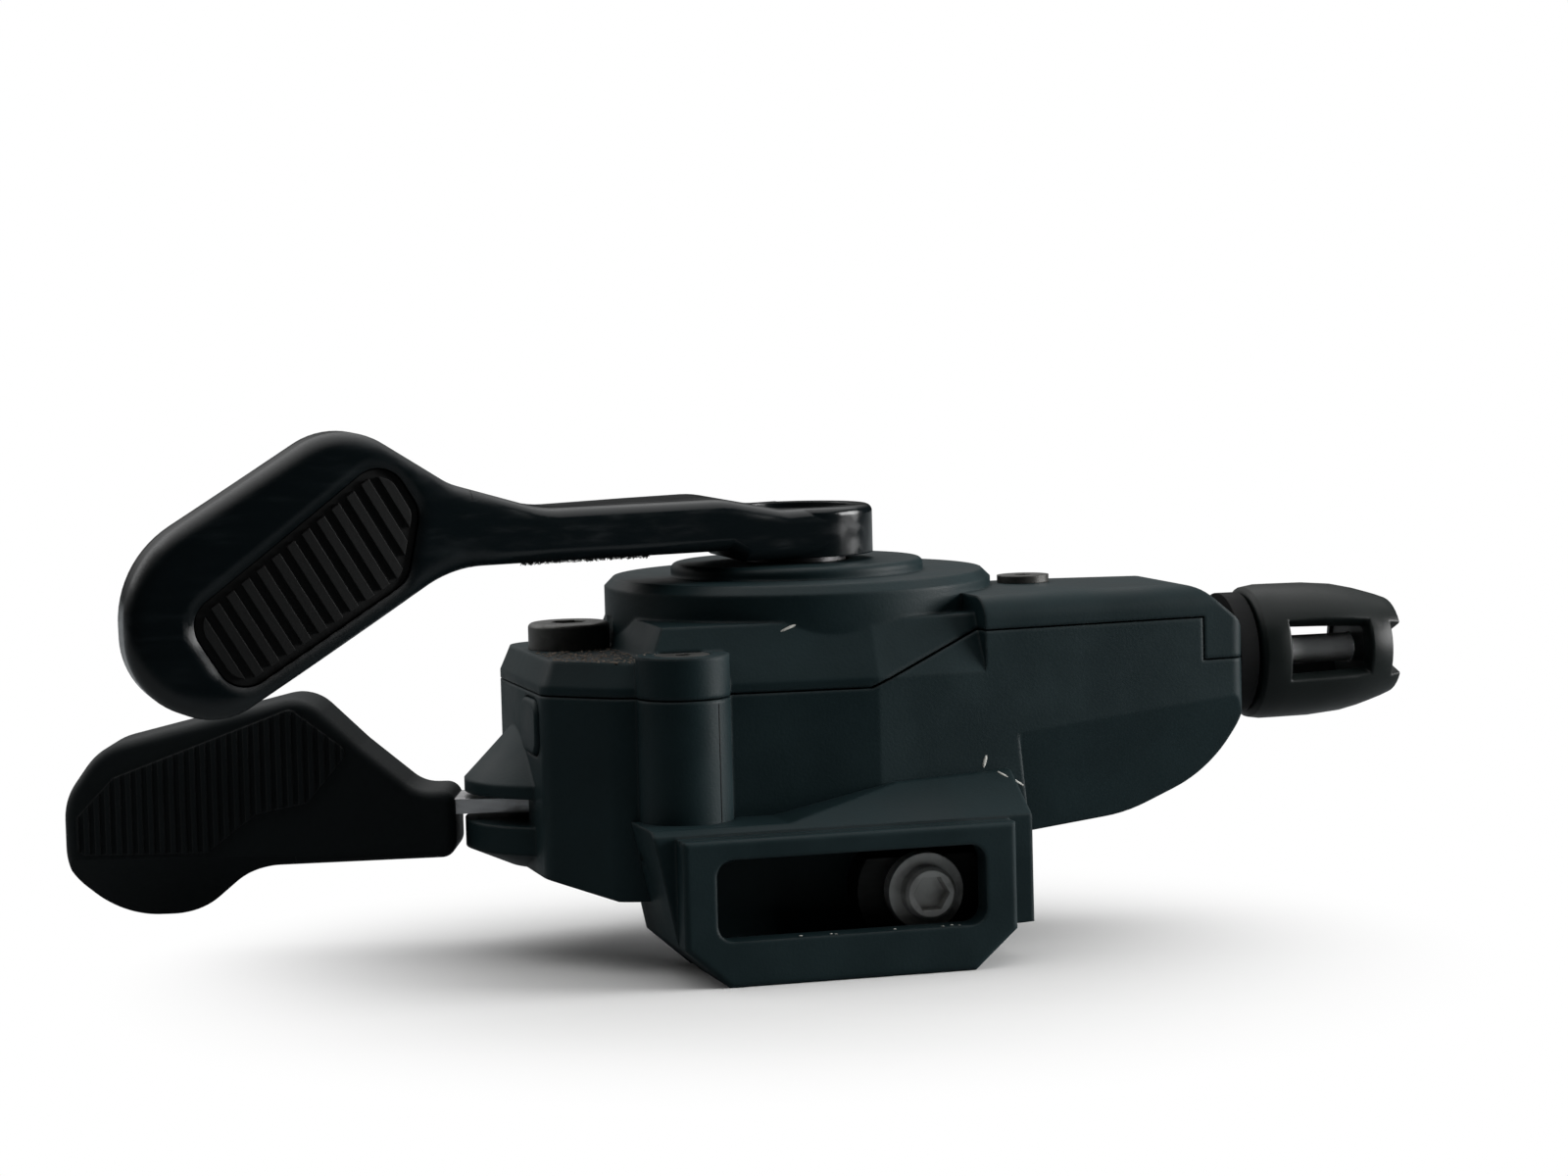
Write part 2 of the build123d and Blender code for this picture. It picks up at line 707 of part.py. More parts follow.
# Case base: the tub that carries the mechanism, with the jaws for the release plate
with BuildPart() as case_base:
    add(case.part)
    extrude(under_seam(0), amount=FAR, both=True, mode=Mode.INTERSECT)
    add(cavity.part, mode=Mode.SUBTRACT)
    for plane in post_planes:
        turned(plane, CASE_BOTTOM, BASE_PLATE_LOW, POST_RADIUS)
        turned(plane, FLOOR, BASE_PLATE_LOW, SCREW_RADIUS + FIT_GAP, mode=Mode.SUBTRACT)
    turned(back_screw, CASE_BOTTOM, SEAM_LOW, COLUMN_RADIUS)
    turned(release, CASE_BOTTOM, RELEASE_SEAT, RELEASE_SEAT_RADIUS)
    for plane in bracket_screw_planes:
        turned(plane, FLOOR, bracket_screw_top + RUN_GAP, POST_RADIUS)
    jaw_gap = PLATE_THICKNESS + JAW_CLEARANCE + JAW_CLEARANCE
    with BuildSketch(release.offset(PLATE_LOW - JAW_CLEARANCE)):
        with Locations((RELEASE_X - CASE_LEFT, 0)):
            Rectangle(FAR, FAR, align=(Align.MAX, Align.CENTER))
    extrude(amount=jaw_gap, mode=Mode.SUBTRACT)
    with BuildSketch(release.offset(PLATE_LOW - JAW_CLEARANCE)):
        with Locations((RELEASE_X - CASE_LEFT + CASE_WALL + FIT_GAP, -JAW_WINDOW_FRONT)):
            Rectangle(JAW_RADIUS, JAW_WINDOW_FRONT + JAW_WINDOW_BACK, align=(Align.MAX, Align.MIN))
    extrude(amount=jaw_gap, mode=Mode.SUBTRACT)
    turned(
        release, RELEASE_BOLT_LOW, RELEASE_SEAT, RELEASE_BOLT_RADIUS + FIT_GAP, mode=Mode.SUBTRACT
    )
    for plane, seat in cover_screw_seats:
        low = seat - COVER_SCREW_LENGTH
        turned(plane, low, seat, COVER_SCREW_RADIUS + FIT_GAP, mode=Mode.SUBTRACT)
    for plane in bracket_screw_planes:
        turned(plane, HEEL_BOTTOM, bracket_screw_top, SCREW_RADIUS + FIT_GAP, mode=Mode.SUBTRACT)
    cable_hole = NOSE_SOLID_FROM - CASE_WALL
    turned(cable_line, cable_hole, CASE_RIGHT, TUBE_RADIUS + FIT_GAP, mode=Mode.SUBTRACT)
    with BuildSketch(left_face):
        RectangleRounded(PLUG_WIDTH, PLUG_HEIGHT, PLUG_ROUND)
    extrude(amount=-PLUG_RECESS, mode=Mode.SUBTRACT)
    turned(left_face, -CASE_WALL, 0, PLUG_STEM_RADIUS + FIT_GAP, mode=Mode.SUBTRACT)
finish(case_base, "case_base")

# Cover: the upper shell with the round can, its cap and the tab round the nose
with BuildPart() as cover:
    add(case.part)
    chamfer(cover.faces().sort_by(Axis.Z)[-1].edges(), CAN_CHAMFER)
    turned(pivot, CAN_TOP, CAP_TOP, CAP_RADIUS)
    fillet(cover.faces().sort_by(Axis.Z)[-1].edges(), CAP_ROUND)
    extrude(under_seam(SEAM_GAP), amount=FAR, both=True, mode=Mode.SUBTRACT)
    add(cavity.part, mode=Mode.SUBTRACT)
    turned(pivot, CAP_CEILING, CAP_TOP, SLEEVE_RADIUS + RUN_GAP, mode=Mode.SUBTRACT)
    turned(release, CEILING, LEFT_TOP, RELEASE_BOLT_RADIUS + FIT_GAP, mode=Mode.SUBTRACT)
    for plane, seat in cover_screw_seats:
        turned(plane, SEAM_LOW, seat, COVER_SCREW_RADIUS + FIT_GAP, mode=Mode.SUBTRACT)
    turned(
        boss_screw, BOSS_TOP - COVER_HEAD, BOSS_TOP, COVER_HEAD_RADIUS + FIT_GAP, mode=Mode.SUBTRACT
    )
    turned(cable_line, NOSE_SOLID_FROM, CASE_RIGHT, TUBE_RADIUS + FIT_GAP, mode=Mode.SUBTRACT)
    head_room = LEFT_TOP + RELEASE_HEAD + RUN_GAP
    turned(release, LEFT_TOP, head_room, RELEASE_HEAD_RADIUS + RUN_GAP, mode=Mode.SUBTRACT)
    turned(back_screw, LEFT_TOP, CAN_TOP, COVER_HEAD_RADIUS + COVER_HEAD_CLEAR, mode=Mode.SUBTRACT)
finish(cover, "cover")

# Bracket: a slotted frame under the front wall, seated on the outside of the case
with BuildPart() as mount_bracket:
    with BuildSketch(Plane.XZ):
        with BuildLine():
            Polyline(
                (-FRAME_HALF, FRAME_TOP),
                (FRAME_HALF, FRAME_TOP),
                (FRAME_HALF, FRAME_BOTTOM + FRAME_CHAMFER_Z),
                (FRAME_HALF - FRAME_CHAMFER_X, FRAME_BOTTOM),
                (FRAME_CHAMFER_X - FRAME_HALF, FRAME_BOTTOM),
                (-FRAME_HALF, FRAME_BOTTOM + FRAME_CHAMFER_Z),
                close=True,
            )
        make_face()
    extrude(amount=-FRAME_DEPTH)
    fillet(mount_bracket.faces().sort_by(Axis.Y)[0].outer_wire().edges(), FRAME_ROUND)
    with BuildSketch(Plane.XZ.offset(-FRAME_DEPTH)):
        with BuildLine():
            Polyline(
                (-LEDGE_LEFT, SHELF_LEFT),
                (SHELF_LEFT_END, SHELF_LEFT),
                (SHELF_MID_X, SHELF_MID),
                (LEDGE_RIGHT, SHELF_RIGHT),
                (LEDGE_RIGHT, LEDGE_LOW),
                (FRAME_HALF, FRAME_BOTTOM + FRAME_CHAMFER_Z),
                (FRAME_HALF - FRAME_CHAMFER_X, FRAME_BOTTOM),
                (FRAME_CHAMFER_X - FRAME_HALF, FRAME_BOTTOM),
                (-FRAME_HALF, FRAME_BOTTOM + FRAME_CHAMFER_Z),
                close=True,
            )
        make_face()
    extrude(amount=FRAME_DEPTH - BRACKET_DEPTH)
    with BuildSketch(Plane.YZ.offset(-FAR)):
        with BuildLine():
            Polyline(
                (FRAME_DEPTH, SHELF_FRONT),
                (FRAME_DEPTH + SHELF_SLOPE_DEPTH, SHELF_FRONT + SHELF_SLOPE_RISE),
                (FRAME_DEPTH, SHELF_FRONT + SHELF_SLOPE_RISE),
                close=True,
            )
        make_face()
    extrude(amount=FAR + FAR, mode=Mode.SUBTRACT)
    with BuildSketch(Plane.XZ):
        RectangleRounded(SLOT_HALF + SLOT_HALF, SLOT_HALF_HEIGHT + SLOT_HALF_HEIGHT, SLOT_ROUND)
    extrude(amount=-CHANNEL_END, mode=Mode.SUBTRACT)
    with BuildSketch(Plane.XZ.offset(-FRAME_DEPTH)):
        with Locations(((CHANNEL_RIGHT - CHANNEL_LEFT) / 2, (CHANNEL_HIGH + CHANNEL_LOW) / 2)):
            RectangleRounded(
                CHANNEL_RIGHT + CHANNEL_LEFT, CHANNEL_HIGH - CHANNEL_LOW, CHANNEL_ROUND
            )
    extrude(amount=FRAME_DEPTH - CHANNEL_END, mode=Mode.SUBTRACT)
    with BuildSketch(Plane.XY.offset(FRAME_TOP)):
        with Locations((0, LINE_Y)):
            Rectangle(FRAME_HALF + FRAME_HALF, LINE_WIDTH)
    extrude(amount=-LINE_DEPTH, mode=Mode.SUBTRACT)
    add(case.part, mode=Mode.SUBTRACT)
    for plane in bracket_screw_planes:
        turned(plane, FRAME_BOTTOM, CASE_BOTTOM, SCREW_RADIUS + FIT_GAP, mode=Mode.SUBTRACT)
        turned(
            plane,
            FRAME_BOTTOM,
            BRACKET_HEAD_LOW + SCREW_HEAD,
            BRACKET_HEAD_RADIUS + FIT_GAP,
            mode=Mode.SUBTRACT,
        )
finish(mount_bracket, "mount_bracket")

# Bracket screws, driven up from below into the case
with BuildPart() as bracket_screws:
    for plane in bracket_screw_planes:
        seat = BRACKET_HEAD_LOW + SCREW_HEAD
        turned(plane, BRACKET_HEAD_LOW, seat, BRACKET_HEAD_RADIUS)
        turned(plane, seat, bracket_screw_top, SCREW_RADIUS)
        with BuildSketch(plane.offset(BRACKET_HEAD_LOW)):
            RegularPolygon(SCREW_SOCKET_RADIUS, 6)
        extrude(amount=SCREW_SOCKET, mode=Mode.SUBTRACT)
finish(bracket_screws, "bracket_screws")

# Cover screws, one sunk in the front boss and two on top
with BuildPart() as cover_screws:
    for plane, seat in cover_screw_seats:
        turned(plane, seat, seat + COVER_HEAD, COVER_HEAD_RADIUS)
        turned(plane, seat - COVER_SCREW_LENGTH, seat, COVER_SCREW_RADIUS)
        with BuildSketch(plane.offset(seat + COVER_HEAD)):
            RegularPolygon(SCREW_SOCKET_RADIUS, 6)
        extrude(amount=-SCREW_SOCKET, mode=Mode.SUBTRACT)
finish(cover_screws, "cover_screws")

# Steel base plate on three posts
with BuildPart() as base_plate:
    turned(pivot, BASE_PLATE_LOW, BASE_PLATE_TOP, CASE_BACK - CASE_WALL - BASE_PLATE_GAP, AXLE_BORE)
    with BuildSketch(pivot.offset(BASE_PLATE_LOW)):
        with Locations((NOSE_SOLID_FROM - RUN_GAP, 0)):
            Rectangle(FAR, FAR, align=(Align.MIN, Align.CENTER))
    extrude(amount=BASE_PLATE_THICKNESS, mode=Mode.SUBTRACT)
    for plane in post_planes:
        turned(plane, BASE_PLATE_LOW, BASE_PLATE_TOP, SCREW_RADIUS + FIT_GAP, mode=Mode.SUBTRACT)
    turned(
        at_pivot(*polar(PAWL_CIRCLE, HOLD_PAWL_ANGLE)),
        BASE_PLATE_LOW,
        BASE_PLATE_TOP,
        PAWL_PIN_RADIUS + FIT_GAP,
        mode=Mode.SUBTRACT,
    )
finish(base_plate, "base_plate")

# Base plate screws
with BuildPart() as base_screws:
    for plane in post_planes:
        turned(plane, FLOOR + FIT_GAP, BASE_PLATE_TOP, SCREW_RADIUS)
        turned(plane, BASE_PLATE_TOP, BASE_PLATE_TOP + SCREW_HEAD, SCREW_HEAD_RADIUS)
        with BuildSketch(plane.offset(BASE_PLATE_TOP + SCREW_HEAD)):
            RegularPolygon(SCREW_SOCKET_RADIUS, 6)
        extrude(amount=-SCREW_SOCKET, mode=Mode.SUBTRACT)
finish(base_screws, "base_screws")

# Main axle, riveted under the base plate
with BuildPart() as main_axle:
    turned(pivot, BASE_PLATE_LOW - AXLE_FLANGE, BASE_PLATE_LOW, AXLE_FLANGE_RADIUS)
    turned(pivot, BASE_PLATE_LOW, RECESS_FLOOR + AXLE_PROUD, AXLE_RADIUS)
    turned(
        pivot,
        RECESS_FLOOR + AXLE_PROUD - PIVOT_BOLT_LENGTH - FIT_GAP,
        RECESS_FLOOR + AXLE_PROUD,
        PIVOT_BOLT_RADIUS + FIT_GAP,
        mode=Mode.SUBTRACT,
    )
finish(main_axle, "main_axle")

# Pivot bolt that closes the axle over the lever
with BuildPart() as pivot_bolt:
    bolt_seat = RECESS_FLOOR + AXLE_PROUD
    turned(pivot, bolt_seat, bolt_seat + PIVOT_HEAD, HUB_RECESS_RADIUS - RUN_GAP)
    chamfer(pivot_bolt.faces().sort_by(Axis.Z)[-1].edges(), PIVOT_HEAD_CHAMFER)
    turned(pivot, bolt_seat - PIVOT_BOLT_LENGTH, bolt_seat, PIVOT_BOLT_RADIUS)
    with BuildSketch(pivot.offset(bolt_seat + PIVOT_HEAD)):
        RegularPolygon(PIVOT_SOCKET, 6)
    extrude(amount=-PIVOT_SOCKET_DEPTH, mode=Mode.SUBTRACT)
finish(pivot_bolt, "pivot_bolt")

# Winding drum with its cable groove and the pocket for its spring
with BuildPart() as winding_drum:
    with BuildSketch(front):
        with BuildLine():
            Polyline(
                (AXLE_BORE, DRUM_LOW),
                (DRUM_RADIUS, DRUM_LOW),
                (DRUM_RADIUS, ADJUSTER_Z - DRUM_GROOVE_HALF),
                (DRUM_GROOVE_RADIUS, ADJUSTER_Z - DRUM_GROOVE_FLOOR),
                (DRUM_GROOVE_RADIUS, ADJUSTER_Z + DRUM_GROOVE_FLOOR),
                (DRUM_RADIUS, ADJUSTER_Z + DRUM_GROOVE_HALF),
                (DRUM_RADIUS, DRUM_TOP),
                (AXLE_BORE, DRUM_TOP),
                close=True,
            )
        make_face()
        with BuildLine():
            Polyline(
                (DRUM_HUB, DRUM_LOW),
                (DRUM_POCKET, DRUM_LOW),
                (DRUM_POCKET, DRUM_LOW + DRUM_POCKET_DEPTH),
                (DRUM_HUB, DRUM_LOW + DRUM_POCKET_DEPTH),
                close=True,
            )
        make_face(mode=Mode.SUBTRACT)
    revolve(axis=Axis((PIVOT_X, PIVOT_Y, 0), (0, 0, 1)))
finish(winding_drum, "winding_drum")


def ratchet_points(first):
    """Corners of a ring of saw teeth, each rising slowly and falling steeply."""
    points = []
    for tooth in range(RATCHET_TEETH):
        angle = first + tooth * 360 / RATCHET_TEETH
        points.append(polar(RATCHET_ROOT + RATCHET_TOOTH, angle))
        points.append(polar(RATCHET_ROOT, angle))
    return points


def ratchet(low, first, bore):
    """Adds a toothed ring that starts its first tooth at an angle."""
    with BuildSketch(pivot.offset(low)) as ring:
        with BuildLine():
            Polyline(*ratchet_points(first), close=True)
        make_face()
        Circle(bore, mode=Mode.SUBTRACT)
    extrude(ring.sketch, amount=RATCHET_THICKNESS)


# Position ratchet under the drum, held by the hold pawl
with BuildPart() as position_ratchet:
    ratchet(POSITION_LOW, HOLD_PAWL_ANGLE - PAWL_TIP_BEHIND, POSITION_RATCHET_BORE)
finish(position_ratchet, "position_ratchet")

# Feed ratchet on top of the drum, pushed by the feed pawl
with BuildPart() as feed_ratchet:
    ratchet(DRUM_TOP, FEED_PAWL_ANGLE - PAWL_TIP_BEHIND, AXLE_BORE)
finish(feed_ratchet, "feed_ratchet")


def pawl(low, pin_angle, turn):
    """Adds a pawl that reaches from its pin to a ratchet, turned about the pin."""
    pin = polar(PAWL_CIRCLE, pin_angle)
    tip_angle = pin_angle - PAWL_TIP_BEHIND + PAWL_TIP_SLACK
    tip = RATCHET_ROOT + PAWL_TIP_LIFT
    corners = [
        polar(tip, tip_angle),
        polar(tip, tip_angle + PAWL_TIP_WIDTH),
        polar(PAWL_BELLY, pin_angle - PAWL_BELLY_BEHIND),
        polar(PAWL_CIRCLE - PAWL_EYE, pin_angle),
        polar(PAWL_CIRCLE + PAWL_EYE, pin_angle),
        polar(tip + PAWL_TIP_HEIGHT, tip_angle),
    ]
    place = Plane(origin=(PIVOT_X + pin[0], PIVOT_Y + pin[1], low)).rotated((0, 0, turn))
    with BuildSketch(place) as blade:
        with BuildLine():
            Polyline(*[(x - pin[0], y - pin[1]) for x, y in corners], close=True)
        make_face()
        Circle(PAWL_EYE)
        Circle(PAWL_PIN_RADIUS + FIT_GAP, mode=Mode.SUBTRACT)
    extrude(blade.sketch, amount=RATCHET_THICKNESS - PAWL_GAP - PAWL_GAP)


# Hold pawl and its pin on the base plate
with BuildPart() as hold_pawl:
    pawl(POSITION_LOW + PAWL_GAP, HOLD_PAWL_ANGLE, 0)
finish(hold_pawl, "hold_pawl")
with BuildPart() as hold_pawl_pin:
    hold_pin = at_pivot(*polar(PAWL_CIRCLE, HOLD_PAWL_ANGLE))
    turned(hold_pin, BASE_PLATE_LOW, DRUM_LOW, PAWL_PIN_RADIUS)
    turned(hold_pin, DRUM_LOW, DRUM_LOW + PAWL_HEAD, PAWL_HEAD_RADIUS)
    turned(hold_pin, BASE_PLATE_TOP, POSITION_LOW, PAWL_HEAD_RADIUS)
finish(hold_pawl_pin, "hold_pawl_pin")

# Feed pawl, resting clear of its ratchet, and its pin on the carrier
with BuildPart() as feed_pawl:
    pawl(DRUM_TOP + PAWL_GAP, FEED_PAWL_ANGLE, FEED_PAWL_REST)
finish(feed_pawl, "feed_pawl")
with BuildPart() as feed_pawl_pin:
    feed_pin = at_pivot(*polar(PAWL_CIRCLE, FEED_PAWL_ANGLE))
    turned(feed_pin, DRUM_TOP, CARRIER_TOP, PAWL_PIN_RADIUS)
    turned(feed_pin, DRUM_TOP - PAWL_HEAD, DRUM_TOP, PAWL_HEAD_RADIUS)
    turned(feed_pin, FEED_TOP, CARRIER_LOW, PAWL_HEAD_RADIUS)
finish(feed_pawl_pin, "feed_pawl_pin")

# Carrier: a plate and sleeve that take the lever's turn into the case
with BuildPart() as lever_carrier:
    with BuildSketch(pivot.offset(CARRIER_LOW)):
        Circle(CARRIER_RADIUS)
        with BuildLine():
            Line((0, 0), polar(PAWL_CIRCLE, FEED_PAWL_ANGLE))
        trace(line_width=CARRIER_ARM)
        Circle(AXLE_BORE, mode=Mode.SUBTRACT)
        with Locations(polar(PAWL_CIRCLE, FEED_PAWL_ANGLE)):
            Circle(CARRIER_ARM / 2)
            Circle(PAWL_PIN_RADIUS + FIT_GAP, mode=Mode.SUBTRACT)
    extrude(amount=CARRIER_THICKNESS)
    turned(pivot, CARRIER_TOP, HUB_LOW, SLEEVE_RADIUS, AXLE_BORE)
finish(lever_carrier, "lever_carrier")

# Bush between the lever's hub and the axle
with BuildPart() as lever_bush:
    turned(pivot, HUB_LOW, RECESS_FLOOR, BUSH_RADIUS, AXLE_BORE)
finish(lever_bush, "lever_bush")

# Springs: the drum's coil, the lever's flat spiral and the release lever's coil
with BuildPart() as drum_spring:
    drum_coil_low = BASE_PLATE_TOP + DRUM_WIRE + SPRING_CLEAR
    with BuildLine() as drum_coil:
        Helix(
            DRUM_COIL_PITCH,
            DRUM_COIL_PITCH * DRUM_COIL_TURNS,
            DRUM_COIL_RADIUS,
            center=(PIVOT_X, PIVOT_Y, drum_coil_low),
        )
    with BuildSketch(Plane(origin=drum_coil.line @ 0, z_dir=drum_coil.line % 0)):
        Circle(DRUM_WIRE)
    sweep(is_frenet=True)
finish(drum_spring, "drum_spring")

with BuildPart() as lever_spring:
    with BuildSketch(pivot.offset(CARRIER_TOP + SPRING_CLEAR)):
        with BuildLine():
            start_x = STRIP_INNER
            for half_turn in range(STRIP_HALF_TURNS):
                reach = STRIP_INNER + half_turn * STRIP_PITCH / 2
                side = 1 if half_turn % 2 == 0 else -1
                CenterArc((start_x - side * reach, 0), reach, 90 - side * 90, 180)
                start_x -= 2 * side * reach
        trace(line_width=STRIP_THICKNESS)
    extrude(amount=STRIP_HEIGHT)
finish(lever_spring, "lever_spring")

with BuildPart() as release_spring:
    release_coil_low = PLATE_TOP + RELEASE_WIRE + SPRING_CLEAR
    with BuildLine() as release_coil:
        Helix(
            RELEASE_COIL_PITCH,
            RELEASE_COIL_PITCH * RELEASE_COIL_TURNS,
            RELEASE_COIL_RADIUS,
            center=(release.origin.X, release.origin.Y, release_coil_low),
        )
    with BuildSketch(Plane(origin=release_coil.line @ 0, z_dir=release_coil.line % 0)):
        Circle(RELEASE_WIRE)
    sweep(is_frenet=True)
finish(release_spring, "release_spring")

# Release bolt and the spacer that holds the plate down on its seat
with BuildPart() as release_bolt:
    turned(release, LEFT_TOP, LEFT_TOP + RELEASE_HEAD, RELEASE_HEAD_RADIUS)
    fillet(release_bolt.faces().sort_by(Axis.Z)[-1].edges(), RELEASE_HEAD_ROUND)
    turned(release, RELEASE_BOLT_LOW, LEFT_TOP, RELEASE_BOLT_RADIUS)
    with BuildSketch(release.offset(LEFT_TOP + RELEASE_HEAD)):
        RegularPolygon(RELEASE_BOLT_RADIUS, 6)
    extrude(amount=-RELEASE_HEAD / 2, mode=Mode.SUBTRACT)
finish(release_bolt, "release_bolt")
SPACER_BORE = RELEASE_BOLT_RADIUS + FIT_GAP
with BuildPart() as release_spacer:
    turned(release, PLATE_TOP + RUN_GAP, CEILING, SPACER_BORE + SPACER_WALL, SPACER_BORE)
finish(release_spacer, "release_spacer")

# Plug over the cable port on the left end
with BuildPart() as cable_port_plug:
    with BuildSketch(left_face.offset(-PLUG_RECESS)):
        RectangleRounded(
            PLUG_WIDTH - SEAM_GAP - SEAM_GAP, PLUG_HEIGHT - SEAM_GAP - SEAM_GAP, PLUG_ROUND - SEAM_GAP
        )
    extrude(amount=PLUG_RECESS + PLUG_PROUD)
    fillet(cable_port_plug.faces().sort_by(Axis.X)[0].edges(), PLUG_PROUD - FIT_GAP)
    turned(left_face, -CASE_WALL, -PLUG_RECESS, PLUG_STEM_RADIUS)
finish(cable_port_plug, "cable_port_plug")

# Release plate: flat steel with its eye on the release bolt
with BuildPart() as release_plate:
    with BuildSketch(release.offset(PLATE_LOW)):
        Circle(PLATE_HUB)
        with BuildLine():
            Line((0, 0), (PLATE_TAIL, 0))
        trace(line_width=PLATE_TAIL_WIDTH)
        with Locations(Rotation(0, 0, -PADDLE_TURN)):
            Rectangle(PLATE_REACH, PLATE_ARM, align=(Align.MAX, Align.CENTER))
        Circle(SPACER_BORE, mode=Mode.SUBTRACT)
    extrude(amount=PLATE_THICKNESS)
finish(release_plate, "release_plate")

# Release paddle, moulded on the end of the plate, with its field of fine ribs
turn_cos = cos(radians(PADDLE_TURN))
turn_sin = sin(radians(PADDLE_TURN))
paddle_side = Plane(release.origin, x_dir=(-turn_cos, turn_sin, 0), z_dir=(turn_sin, turn_cos, 0))
paddle_out = Axis(paddle_side.origin, paddle_side.z_dir)
crease_start = Plane(
    paddle_side.origin + paddle_side.x_dir * CREASE_END,
    x_dir=-paddle_side.z_dir,
    z_dir=paddle_side.x_dir,
)
CREASE_FALL = CREASE_LOW - PADDLE_CHIN_Z
field_points = [
    (PADDLE_TIP - FIELD_MARGIN, FIELD_LOW),
    (PADDLE_TIP - FIELD_MARGIN, FIELD_TIP_HIGH),
    (PADDLE_TOP_X - FIELD_MARGIN, FIELD_TOP_RIGHT),
    (PADDLE_APEX_X + FIELD_MARGIN, PADDLE_APEX_Z - FIELD_MARGIN),
    (FIELD_LEFT_X, FIELD_LEFT_Z),
    (FIELD_STEP_X, FIELD_STEP_Z),
    (FIELD_WAIST_X, FIELD_WAIST_Z),
    (FIELD_BEND_X, FIELD_LOW),
]
with BuildPart() as release_paddle:
    with BuildSketch(paddle_side.offset(-PADDLE_HALF)):
        with BuildLine():
            FilletPolyline(
                [
                    (PADDLE_ROOT, PADDLE_LOW),
                    (PADDLE_ROOT, PADDLE_HIGH),
                    (PADDLE_NECK, PADDLE_HIGH),
                    (PADDLE_RISE_X, PADDLE_RISE_Z),
                    (PADDLE_APEX_X, PADDLE_APEX_Z),
                    (PADDLE_TOP_X, PADDLE_TOP_Z),
                    (PADDLE_TIP, PADDLE_TIP_HIGH),
                    (PADDLE_TIP, PADDLE_TIP_LOW),
                    (PADDLE_CHIN_X, PADDLE_CHIN_Z),
                    (PADDLE_HEEL_X, PADDLE_HEEL_Z),
                    (PADDLE_WAIST_X, PADDLE_WAIST_Z),
                ],
                radius=[
                    PADDLE_ROOT_ROUND,
                    PADDLE_ROOT_ROUND,
                    PADDLE_NECK_ROUND,
                    PADDLE_RISE_ROUND,
                    PADDLE_APEX_ROUND,
                    PADDLE_TIP_ROUND,
                    PADDLE_TIP_ROUND,
                    PADDLE_TIP_ROUND,
                    PADDLE_CHIN_ROUND,
                    PADDLE_CHIN_ROUND,
                    PADDLE_WAIST_ROUND,
                ],
                close=True,
            )
        make_face()
    extrude(amount=PADDLE_HALF + PADDLE_HALF)
    fillet(release_paddle.faces().sort_by(paddle_out)[0].edges(), PADDLE_EDGE_ROUND)
    fillet(release_paddle.faces().sort_by(paddle_out)[-1].edges(), PADDLE_BACK_ROUND)
    with BuildSketch(crease_start):
        with BuildLine():
            Polyline(
                (PADDLE_HALF, CREASE_LOW),
                (PADDLE_HALF - CREASE_DEPTH - CREASE_DEPTH, PADDLE_CHIN_Z - CREASE_FALL),
                (PADDLE_HALF + CREASE_DEPTH, PADDLE_CHIN_Z - CREASE_FALL),
                (PADDLE_HALF + CREASE_DEPTH, CREASE_LOW),
                close=True,
            )
        make_face()
    extrude(amount=FAR, mode=Mode.SUBTRACT)
    with BuildSketch(paddle_side.offset(-PADDLE_HALF)):
        with BuildLine():
            FilletPolyline(field_points, radius=FIELD_ROUND, close=True)
        make_face()
    extrude(amount=-FIELD_RAISE)
    with BuildSketch(paddle_side.offset(-PADDLE_HALF - FIELD_RAISE)):
        with Locations((FIELD_START + FIELD_PITCH * FIELD_GROOVES / 2, PADDLE_RISE_Z)):
            with GridLocations(FIELD_PITCH, 0, FIELD_GROOVES, 1):
                Rectangle(FIELD_GROOVE_WIDTH, FAR)
    extrude(amount=FIELD_GROOVE, mode=Mode.SUBTRACT)
    with BuildSketch(release.offset(PLATE_LOW - FIT_GAP)):
        with Locations(Rotation(0, 0, -PADDLE_TURN)):
            Rectangle(
                PLATE_REACH + FIT_GAP, PLATE_ARM + FIT_GAP + FIT_GAP, align=(Align.MAX, Align.CENTER)
            )
    extrude(amount=PLATE_THICKNESS + FIT_GAP + FIT_GAP, mode=Mode.SUBTRACT)
finish(release_paddle, "release_paddle")

# Adjuster seal against the nose
with BuildPart() as adjuster_seal:
    turned(cable_line, CASE_RIGHT, CASE_RIGHT + SEAL_LENGTH, SEAL_RADIUS, TUBE_RADIUS + FIT_GAP)
finish(adjuster_seal, "adjuster_seal")

